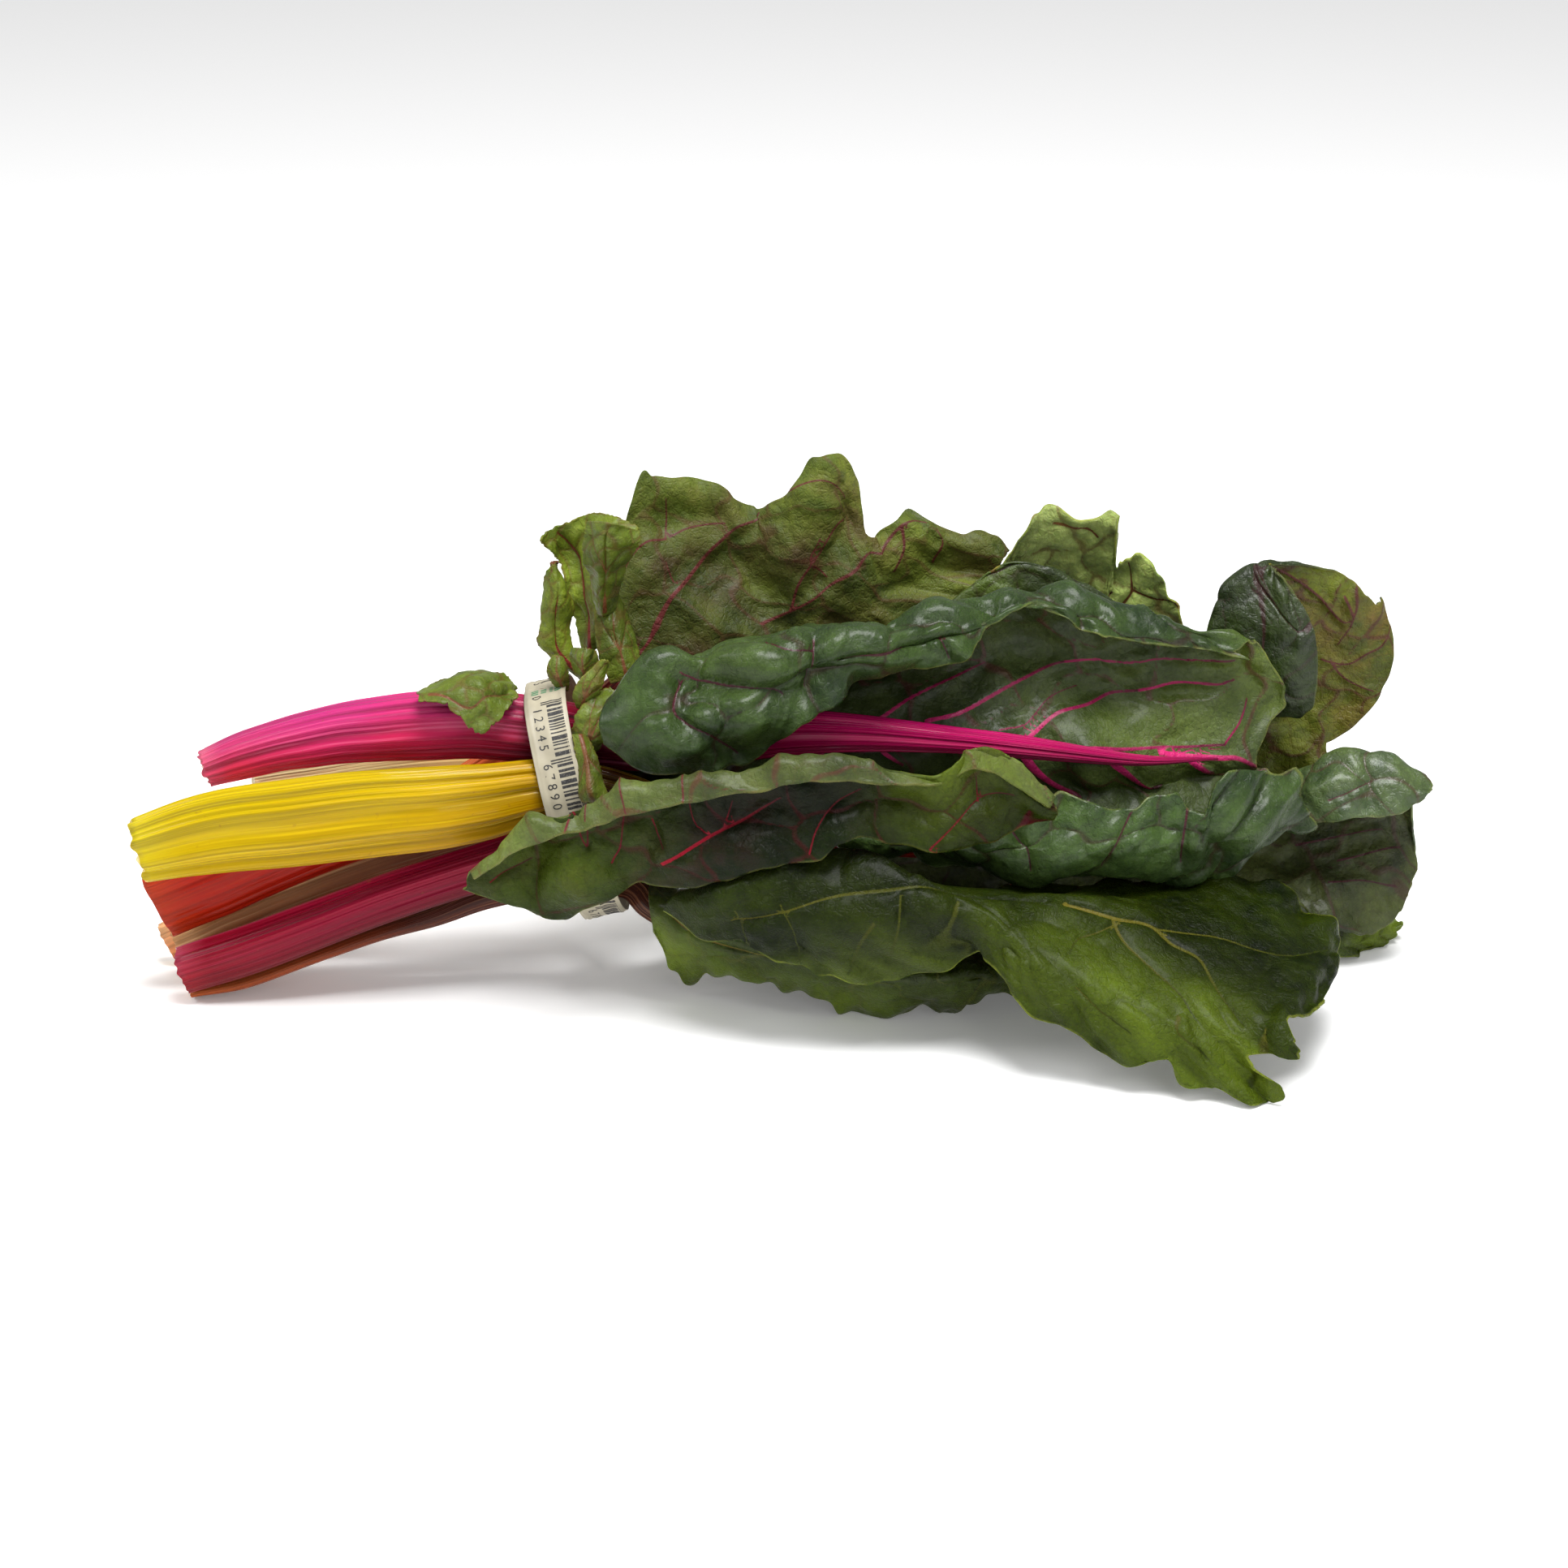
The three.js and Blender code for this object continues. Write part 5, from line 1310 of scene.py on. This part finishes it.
rust_route = [
    [-147, -5, 2, 3.5, 16], [-133, -5, 5, 4.5, 16], [-113.5, -5, 12.5, 5, 15],
    [-99, -4, 17.5, 5.5, 14], [-87, -4, 21, 6.5, 13], [-73.5, -3, 26, 8, 12], [-53.5, -2, 30, 9, 11],
    [-39, -3, 28.5, 8, 9], [-33, -6, 24, 7.5, 9], [-27, -9, 21, 7, 9], [-18, -13, 18.5, 6.5, 9],
    [0, -18, 17, 5.5, 8], [17, -21, 16, 5, 7], [39, -20, 13.5, 4, 6],
]
# Past its cut end the colours are painted shade, darkest on top where the other stalks lie over it and
# lighter along the bottom edge.
rust_tints = [
    (0.00, (172, 96, 50), (160, 76, 32), (150, 68, 28)),
    (0.15, (96, 40, 20), (120, 52, 22), (128, 54, 20)),
    (0.28, (58, 24, 16), (66, 28, 18), (84, 36, 18)),
    (0.50, (50, 22, 18), (56, 24, 18), (64, 28, 20)),
    (1.00, (63, 43, 24), (63, 39, 24), (53, 34, 20)),
]
rust_skin = stalk_skin("rust_stalk_skin", (190, 130, 90), 0.3, 0.4)
rust_flesh = cut_face("rust_cut_face", (220, 170, 120), (150, 90, 60))
grow_stalk(
    "rust_stem", "rust_stalk", rust_route, rust_tints, ribs=[(6, 0.3, 0.1), (20, 0.15, 0.9)], hollow=0,
    skin=rust_skin, flesh=rust_flesh, seed=81)

rust_rails = {
    "near_edge": [
        [-32, -16, 20], [-23, -8, 3], [-3, -9, 0], [16, -19, 0], [39, -20, 0], [61, -12, 1],
        [87, -12, 1], [116, -6, 2], [142, 14, 1], [155, 24, 1],
    ],
    "near_face": [
        [-33, -17, 28], [-23, -20, 19], [-3, -27, 17], [16, -33, 15], [38, -33, 14], [60, -22, 10],
        [87, -14, 7], [116, -4, 5], [143, 16, 4], [157, 28, 4],
    ],
    "midrib_line": [
        [-33, -10, 31], [-20, -15, 26], [-1, -19, 22], [17, -21, 20], [39, -20, 17], [61, -14, 14],
        [88, -6, 11], [117, 6, 8], [142, 22, 6], [156, 32, 5],
    ],
    "far_face": [
        [-32, -3, 29], [-17, 6, 21], [1, 12, 14], [19, 14, 10], [42, 14, 8], [65, 16, 6], [90, 20, 4],
        [119, 28, 2], [141, 36, 3], [154, 42, 4],
    ],
    "far_edge": [
        [-31, 6, 25], [-16, 30, 13], [3, 44, 5], [22, 50, 0], [46, 54, -2], [69, 56, -2], [95, 58, -3],
        [121, 58, -3], [140, 56, -2], [152, 52, 1],
    ],
}
rust_veins = [
    ([(0.07, 0.335), (0.17, 0.28), (0.225, 0.26)], 0.8, 0.5),
]
moss_upper = leaf_side(
    "moss_leaf_upper", fresh=(51, 65, 9), deep=(23, 31, 3), net=(43, 54, 7), vein=(90, 92, 32),
    bright=(110, 70, 34), rim=(130, 140, 50), roughness=0.42, net_share=0.3, gloss=0.15, shine=0.15,
    grain=2.5)
rust_patches = [
    ((0.05, 0.05), 12, 0.9, 0.5), ((0.2, 0.06), 12, 0.8, 0.5), ((0.33, 0.06), 12, 0.7, 0.4),
    ((0.97, 0.42), 12, 0.8, 0.6), ((0.5, 0.04), 12, 0.3, 0.3),
]
rust_lobes = {
    "first": [
        (0, -3), (0.03, 3.8), (0.075, -2), (0.11, 0.5), (0.14, -8), (0.2, -12), (0.25, -9), (0.3, -10),
        (0.335, 0), (0.395, -4.5), (0.43, -6), (0.455, 0), (0.475, -12), (0.52, -12), (0.58, -5),
        (0.64, -2), (0.7, -4), (0.76, 0), (0.82, -6), (0.87, -3), (0.93, 3), (0.97, 2.5), (1, 0),
    ],
    "last": [
        (0, 0), (0.15, -2), (0.3, 0), (0.42, -3), (0.56, 0), (0.68, -2.5), (0.8, 0.5), (0.92, -2),
        (1, 0),
    ],
    "tip": [
        (0, -1), (0.1, 2), (0.24, 3), (0.36, 3), (0.42, 0), (0.5, 3), (0.62, 5), (0.72, 3), (0.8, -2),
        (1, -3),
    ],
}
cut_blade(
    "rust_blade", "rust_leaf", rust_rails, upper=1, veins=rust_veins, coats=[moss_upper, green_under],
    seed=801, pucker=0.9, cell=15, ruffle=1.3, scallop=0.4, patches=rust_patches, lobes=rust_lobes)

# ---- Leaflets at the tie ------------------------------------------------------------------
# Young and torn leaves caught in the tie: a flap behind the pink stalk, a torn strip with a
# red midrib, and a curled leaflet behind it.

small_rails = {
    "far_edge": [
        [-89, -10, 80], [-83, -8, 83], [-74, -6, 84], [-68, -5, 83], [-65, -4, 79],
    ],
    "middle": [
        [-88, -14, 81], [-81, -15, 83], [-73, -16, 84], [-69, -13, 82], [-65, -8, 80],
    ],
    "near_edge": [
        [-88, -16, 80], [-81, -19, 80], [-74, -20, 73], [-69, -17, 75], [-64, -11, 80],
    ],
}
small_veins = [
    ([(0.115, 0.685), (0.37, 0.81), (0.585, 0.63), (0.885, 0.615)], 0.8, 0.4),
]
young_side = leaf_side(
    "young_leaf_side", fresh=(100, 115, 31), deep=(68, 82, 20), net=(78, 78, 24), vein=(92, 70, 32),
    bright=(116, 56, 36), rim=(120, 104, 50), roughness=0.44, net_share=0.5, gloss=0.12, shine=0.2)
torn_side = leaf_side(
    "torn_leaf_side", fresh=(118, 134, 36), deep=(78, 92, 22), net=(90, 82, 26), vein=(96, 50, 26),
    bright=(116, 30, 28), rim=(96, 60, 30), roughness=0.5, net_share=0.3, gloss=0.08, shine=0.2)
cut_blade(
    "small_leaflet", "small_leaf", small_rails, upper=-1, veins=small_veins,
    coats=[young_side, young_side], seed=901, step=0.6, pucker=0.7, cell=8, ruffle=0.8, scallop=1.0)

curly_front_rails = {
    "left_edge": [
        [-51, 9, 78], [-58, 9, 84], [-61, 9, 87], [-59, 9, 93], [-59, 9, 103], [-56, 8, 108],
    ],
    "midrib_line": [
        [-50, 6, 79], [-55, 6, 85], [-56, 6, 89], [-56, 6, 95], [-55, 6, 102], [-56, 8, 108],
    ],
    "right_edge": [
        [-49, 9, 78], [-52, 9, 85], [-52, 10, 90], [-51, 10, 95], [-53, 10, 100], [-55, 9, 107],
    ],
}
cut_blade(
    "front_leaflet", "curly_leaf_front", curly_front_rails, upper=-1,
    veins=[([(0.0, 0.5), (0.3, 0.5), (0.6, 0.52), (1.0, 0.5)], 1.3, 0.6)],
    coats=[torn_side, torn_side], seed=911, step=0.4, pucker=0.5, cell=6, ruffle=0.5, scallop=0.4)

curly_back_rails = {
    "left_edge": [
        [-50, 16, 83], [-53, 18, 94], [-55, 19, 103], [-57, 17, 107], [-60, 13, 112],
    ],
    "left_face": [
        [-49, 15, 83], [-50, 17, 94], [-52, 19, 104], [-53, 20, 109], [-55, 19, 114],
    ],
    "fold": [
        [-48, 14, 83], [-48, 15, 94], [-49, 16, 104], [-49, 18, 111], [-47, 19, 117],
    ],
    "right_face": [
        [-47, 14, 83], [-46, 13, 94], [-45, 12, 105], [-44, 13, 112], [-41, 16, 117],
    ],
    "right_edge": [
        [-46, 14, 84], [-43, 11, 94], [-40, 10, 104], [-37, 11, 110], [-35, 14, 115],
    ],
}
cut_blade(
    "back_leaflet", "curly_leaf_back", curly_back_rails, upper=-1,
    veins=[([(0.0, 0.5), (0.3, 0.42), (0.6, 0.3), (0.9, 0.2)], 1.0, 0.5)],
    coats=[torn_side, torn_side], seed=921, step=0.4, pucker=0.6, cell=7, ruffle=1.0, scallop=0.6)

# Smaller young leaves crowd round the tie: a wing against the back leaf, a curl in front of the
# torn ones, a folded one, a spoon-shaped one, a bud, a flap over the root of the pink leaf, and a
# strip beside the tie. Each is its left edge, its middle and its right edge, from root to tip.
collar_leaves = {
    "collar_wing": [
        [(-42.5, 6, 77), (-45.5, 8, 83), (-46.5, 10, 89), (-46.5, 12, 94), (-44.5, 14, 98)],
        [(-38.5, 5, 78.5), (-40, 6, 84.5), (-41.5, 8, 89.5), (-42, 11, 94.5), (-43, 14, 98.5)],
        [(-34.5, 8, 78.5), (-35.5, 11, 83.5), (-37, 14, 88), (-39, 16, 93), (-41.5, 17, 97.5)],
    ],
    "collar_curl": [
        [(-45.5, 11, 93), (-48.5, 8, 105.5), (-49, 5, 114.5), (-48, 5, 119)],
        [(-44, 9, 93.5), (-43.5, 4, 106.5), (-43, 1, 115), (-42, 2, 119.5)],
        [(-41.5, 12, 94), (-39, 9, 105), (-35.5, 6, 112.5), (-35, 7, 116)],
    ],
    "collar_fold": [
        [(-48, -9, 81.5), (-50.5, -9, 85), (-51.5, -8, 88), (-51, -7, 90.5)],
        [(-47.5, -9, 81.5), (-48.5, -12, 86), (-48.5, -12, 89.5), (-48, -11, 92)],
        [(-47, -9, 81.5), (-46, -9, 84.5), (-45, -8, 87.5), (-45.5, -7, 90)],
    ],
    "collar_spoon": [
        [(-50, -12, 77), (-51, -14, 81), (-49, -14, 85), (-44.5, -13, 89.5)],
        [(-49, -13, 77), (-48, -15.5, 81), (-46, -15.5, 85), (-42.5, -14, 90)],
        [(-48, -12, 76), (-45.5, -14, 80), (-43.5, -14, 84), (-42, -13, 88.5)],
    ],
    "collar_bud": [
        [(-54, -5, 79), (-56.5, -6, 81.5), (-57.5, -6, 85), (-56, -5, 88)],
        [(-53.5, -5, 79), (-54.5, -8, 82.5), (-55, -8, 85.5), (-55, -6, 88.5)],
        [(-52.5, -5, 79), (-52, -6, 82), (-52.5, -6, 85), (-54, -5, 87.5)],
    ],
    "collar_flap": [
        [(-52, -14, 64.5), (-51, -16, 71.5), (-49.5, -16, 77.5), (-46, -14, 82), (-42, -13, 83)],
        [(-50, -15, 64), (-47.5, -19, 70.5), (-45, -19, 75.5), (-42, -17, 79.5), (-39, -14, 81)],
        [(-48, -14, 62.5), (-45, -17, 67.5), (-42, -17, 72), (-39, -16, 75.5), (-37.5, -14, 79)],
    ],
    "collar_strip": [
        [(-51, -20, 73), (-50, -22, 67.5), (-49, -24, 63), (-48, -25, 58)],
        [(-49, -20, 73), (-47.5, -24, 68), (-46.5, -27, 63.5), (-45.5, -28, 58.5)],
        [(-47.5, -19, 72.5), (-45, -22, 68.5), (-43.5, -25, 64.5), (-42.5, -26, 58.5)],
    ],
}
collar_veins = [
    ([(0.05, 0.5), (0.35, 0.52), (0.65, 0.48), (0.92, 0.5)], 0.8, 0.3),
    ([(0.3, 0.5), (0.5, 0.3), (0.7, 0.12)], 0.4, 0.2),
    ([(0.25, 0.5), (0.45, 0.72), (0.6, 0.9)], 0.4, 0.2),
]
for number, (collar_name, lines) in enumerate(collar_leaves.items()):
    cut_blade(collar_name, None, dict(zip(("left", "middle", "right"), lines)), upper=-1,
              veins=collar_veins, coats=[young_side, young_side], seed=930 + number, step=0.35,
              pucker=0.5, cell=6, ruffle=0.6, scallop=0.4)

# ---- Twist tie ----------------------------------------------------------------------------
# A flat paper band over two thin wires, wound once round the stalks, with its ends twisted
# together behind. It is printed with plain bars and numbers, again and again along it.

TIE_WIDTH = 10.4
TIE_CENTRE = np.array([-50.6, 0.0, 49.0])
TIE_LEAN = math.radians(14)
PAPER_THICKNESS = 0.3
PAPER_FACE = 0.32
WIRE_OUT = 0.22
WIRE_RADIUS = 0.45
WIRE_FROM_MIDDLE = 4.1
DENTS = 0.12
tie_loop = np.array([
    [-4, 80], [-13, 78], [-20, 70], [-25, 57], [-23, 40], [-16, 26], [-4, 20],
    [9, 22], [18, 33], [23, 48], [22, 61], [15, 73], [6, 79],
], float)


def round_loop(t):
    """Places on the closed loop of the tie, [y, z] from its centre, for t from 0 to 1."""
    again = np.concatenate([tie_loop[-3:], tie_loop, tie_loop[:4]]) - [0, TIE_CENTRE[2]]
    return smooth_line(again, (3 + (t % 1) * len(tie_loop)) / (len(again) - 1))


fine_t = np.linspace(0, 1, 800)
loop_steps = np.linalg.norm(np.diff(round_loop(fine_t), axis=0), axis=1)
loop_run = np.concatenate([[0], np.cumsum(loop_steps)])
TIE_LENGTH = loop_run[-1]


def loop_t(distance):
    """The loop's t at a distance in millimetres along it."""
    return np.interp(np.mod(distance, TIE_LENGTH), loop_run, fine_t)


def leaned(x, y, z):
    """Places round the tie's centre, once the tie leans over with the stalks."""
    cos, sin = math.cos(TIE_LEAN), math.sin(TIE_LEAN)
    return np.stack([x * cos - z * sin, y, x * sin + z * cos], axis=1) + TIE_CENTRE


def on_tie(along, across, out):
    """Places on the tie: along it, across from its middle, and out from its paper's face."""
    t = loop_t(along)
    ahead = round_loop(t + 0.002) - round_loop(t - 0.002)
    ahead /= np.linalg.norm(ahead, axis=1)[:, None]
    outward = np.stack([ahead[:, 1], -ahead[:, 0]], axis=1)
    wires = WIRE_OUT * np.exp(-((np.abs(across) - WIRE_FROM_MIDDLE) / WIRE_RADIUS) ** 2)
    dents = DENTS * drift(along, across * 3, 9, 951)
    y, z = (round_loop(t) + outward * (PAPER_FACE + wires + dents + out)[:, None]).T
    return leaned(across, y, z)


def spots_of(verts):
    return np.array([vert.co for vert in verts])


def move_to(verts, places):
    for vert, place in zip(verts, places):
        vert.co = Vector(place / METRE)


def strip_on_tie(bm, start, end, low, high, out, cuts):
    """A strip on the tie, from start to end along it and from low to high across it."""
    verts = bmesh.ops.create_grid(bm, x_segments=cuts[0], y_segments=cuts[1], size=0.5)["verts"]
    spots = spots_of(verts) + 0.5
    along = start + spots[:, 0] * (end - start)
    across = low + spots[:, 1] * (high - low)
    move_to(verts, on_tie(along, across, out))


def paper(name, tone, roughness):
    """Dull, slightly stained paper."""
    sheet = Finish(name)
    place = sheet.add("ShaderNodeTexCoord")["Object"]
    pulp = sheet.noise(place, 900.0, 3.0)
    stain = sheet.noise(place, 120.0)
    darker = tuple(c * 0.86 for c in tone)
    return sheet.done({
        "Base Color": sheet.mixed(sheet.ranged(stain, 0.35, 0.7), tone, darker),
        "Roughness": sheet.ranged(pulp, 0.3, 0.7, roughness - 0.08, roughness + 0.08),
        "Normal": sheet.bumped(pulp, 0.3, 0.0001)})


tie_paper = paper("tie_paper", (168, 160, 138), 0.5)
band = bmesh.new()
strip_on_tie(band, 0, TIE_LENGTH - 0.0001, -TIE_WIDTH / 2, TIE_WIDTH / 2, 0.0, (520, 34))
bmesh.ops.remove_doubles(band, verts=band.verts, dist=0.00002)
bmesh.ops.recalc_face_normals(band, faces=band.faces)
tie = piece_from("paper_band", mesh_of("paper_band", band), [tie_paper], "twist_tie")
walled(tie, PAPER_THICKNESS, -1)

# The two ends of the tie, rolled to narrow strips and twisted round each other behind.
TAIL_WIDTH = 2.6
TAIL_THICKNESS = 0.5
TAIL_APART = 0.45
TAIL_TWISTS = 2.5
TWIST_END = 0.82
TAIL_SPLAY = 16
tail_route = np.array([
    [0, 22.6, -1], [0, 25.5, -3], [1, 28.2, -7], [2, 29, -13], [3, 28.5, -19], [3, 27, -25],
], float)
for number, tail_name in enumerate(("tie_end_left", "tie_end_right")):
    tail = bmesh.new()
    tail_verts = bmesh.ops.create_grid(tail, x_segments=140, y_segments=8, size=0.5)["verts"]
    spots = spots_of(tail_verts)
    t = spots[:, 0] + 0.5
    ahead = heading(tail_route, t)
    sideways = np.cross(ahead, [1.0, 0.0, 0.0])
    sideways /= np.linalg.norm(sideways, axis=1)[:, None]
    other = np.cross(ahead, sideways)
    turn = math.tau * TAIL_TWISTS * np.minimum(t, TWIST_END) + math.pi * number
    cos, sin = np.cos(turn)[:, None], np.sin(turn)[:, None]
    width = TAIL_WIDTH * (0.55 + 0.45 * np.abs(2 * t - 0.9))
    place = (smooth_line(tail_route, t)
             + (sideways * cos + other * sin) * (spots[:, 1] * width)[:, None]
             + (other * cos - sideways * sin) * TAIL_APART)
    place[:, 0] += np.clip(t - TWIST_END, 0, 1) * TAIL_SPLAY * (1 if number else -1)
    move_to(tail_verts, leaned(*place.T))
    tie_end = piece_from(tail_name, mesh_of("tie_end", tail), [tie_paper], None)
    walled(tie_end, TAIL_THICKNESS, 0)

# The print: a bar pattern with plain counting numbers under it, and a row of green dashes.
PRINT_OUT = 0.03
PRINT_THICKNESS = 0.02
PRINTS = 4
DASHES = [(-3.4, -1.6), (-1.0, 0.4), (1.2, 2.0), (2.4, 4.2)]
DASH_ROWS = 3
DASH_START = 0.9
DASH_PITCH = 0.95
DASH_LENGTH = 0.45
BARS_START = 7.4
BARS_LOW, GUARDS_LOW, BARS_HIGH = 0.3, -1.1, 4.2
MODULE = 0.33
MODULES = 95
NUMBERS = "0 12345 67890 5"
NUMBER_SIZE = 3.1
NUMBER_PITCH = 2.42
NUMBERS_START = 4.2
NUMBERS_LOW = -3.1


def write_number(bm, figure, along, across):
    """One figure of the print, laid round the tie."""
    glyph = bpy.data.curves.new("number", "FONT")
    glyph.body = figure
    glyph.size = NUMBER_SIZE
    glyph.resolution_u = 3
    holder = bpy.data.objects.new("number", glyph)
    outline = bpy.data.meshes.new_from_object(holder)
    letter = bmesh.new()
    letter.from_mesh(outline)
    spots = spots_of(letter.verts)
    places = on_tie(along + spots[:, 0], across + spots[:, 1] * 1.05, PRINT_OUT)
    move_to(letter.verts, places)
    letter.to_mesh(outline)
    letter.free()
    bm.from_mesh(outline)
    bpy.data.objects.remove(holder)
    bpy.data.curves.remove(glyph)
    bpy.data.meshes.remove(outline)


def print_layer(name, bm, ink_name, tone):
    """Finishes one colour of the print, as a thin layer on the paper."""
    ink = Finish(ink_name)
    speck = ink.noise(ink.add("ShaderNodeTexCoord")["Object"], 2600.0)
    worn = ink.ranged(speck, 0.55, 0.75, 0.0, 0.35)
    material = ink.done({"Base Color": ink.mixed(worn, tone, (150, 148, 140)), "Roughness": 0.6})
    layer = piece_from(name, mesh_of(name, bm, smooth=False), [material], None)
    walled(layer, PRINT_THICKNESS, 1)


black, green = bmesh.new(), bmesh.new()
for number in range(PRINTS):
    begin = number * TIE_LENGTH / PRINTS
    for low, high in DASHES:
        for line in range(DASH_ROWS):
            start = begin + DASH_START + line * DASH_PITCH
            strip_on_tie(green, start, start + DASH_LENGTH, low, high, PRINT_OUT, (1, 4))
    dice = np.random.default_rng(5)
    module = 0
    while module < MODULES:
        thick, gap = dice.integers(1, 4), dice.integers(1, 3)
        guard = module < 4 or 45 < module < 50 or module > 90
        if guard:
            thick, gap = 1, 1
        start = begin + BARS_START + module * MODULE
        strip_on_tie(black, start, start + thick * MODULE,
                     GUARDS_LOW if guard else BARS_LOW, BARS_HIGH, PRINT_OUT, (1, 6))
        module += thick + gap
    for position, figure in enumerate(NUMBERS):
        if figure != " ":
            start = begin + NUMBERS_START + position * NUMBER_PITCH
            write_number(black, figure, start, NUMBERS_LOW)
print_layer("tie_bars_and_numbers", black, "black_ink", (34, 32, 32))
print_layer("tie_green_dashes", green, "green_ink", (40, 120, 80))

# ---- Floor, lights and camera -------------------------------------------------------------
# A plain pale floor, broad soft lights above, and the camera a little above the bunch.

FLOOR_REACH = 6
FLOOR_WHITE = 0.95
SKY_LEVEL = 0.46
floor_bm = bmesh.new()
bmesh.ops.create_grid(floor_bm, x_segments=1, y_segments=1, size=FLOOR_REACH)
floor = bpy.data.objects.new("floor", mesh_of("floor", floor_bm, smooth=False))
bpy.context.collection.objects.link(floor)
floor.data.materials.append(Finish("floor_paint").done({
    "Base Color": (FLOOR_WHITE, FLOOR_WHITE, FLOOR_WHITE, 1), "Roughness": 0.9,
    "Specular IOR Level": 0.1, "Emission Color": (1, 1, 1, 1), "Emission Strength": 0.12}))

sky = bpy.data.worlds.new("studio")
sky.use_nodes = True
background = sky.node_tree.nodes["Background"]
background.inputs["Color"].default_value = (1, 1, 1, 1)
background.inputs["Strength"].default_value = SKY_LEVEL
bpy.context.scene.world = sky


def soft_light(name, place, size, power):
    """A square lamp that faces the middle of the bunch."""
    lamp = bpy.data.lights.new(name, "AREA")
    lamp.energy = power
    lamp.size = size
    light = bpy.data.objects.new(name, lamp)
    light.location = place
    towards = Vector((0, 0, 0.05)) - Vector(place)
    light.rotation_euler = towards.to_track_quat("-Z", "Y").to_euler()
    bpy.context.collection.objects.link(light)


soft_light("top_light", (0.15, -0.38, 1.25), 0.6, 23)
soft_light("left_light", (-1.0, -0.3, 1.0), 0.5, 5)
soft_light("front_light", (0.7, -1.6, 0.9), 0.9, 5)

CAMERA_AWAY = 1.07333
CAMERA_LIFT = math.radians(20)
camera_data = bpy.data.cameras.new("camera")
camera_data.lens = 100
camera_data.sensor_width = 36
camera_data.clip_end = 20
camera = bpy.data.objects.new("camera", camera_data)
bpy.context.collection.objects.link(camera)
aim = Vector((0, 0, 0.053))
camera.location = aim + CAMERA_AWAY * Vector((0, -math.cos(CAMERA_LIFT), math.sin(CAMERA_LIFT)))
camera.rotation_euler = (aim - camera.location).to_track_quat("-Z", "Y").to_euler()
bpy.context.scene.camera = camera
bpy.context.scene.view_settings.view_transform = "Standard"
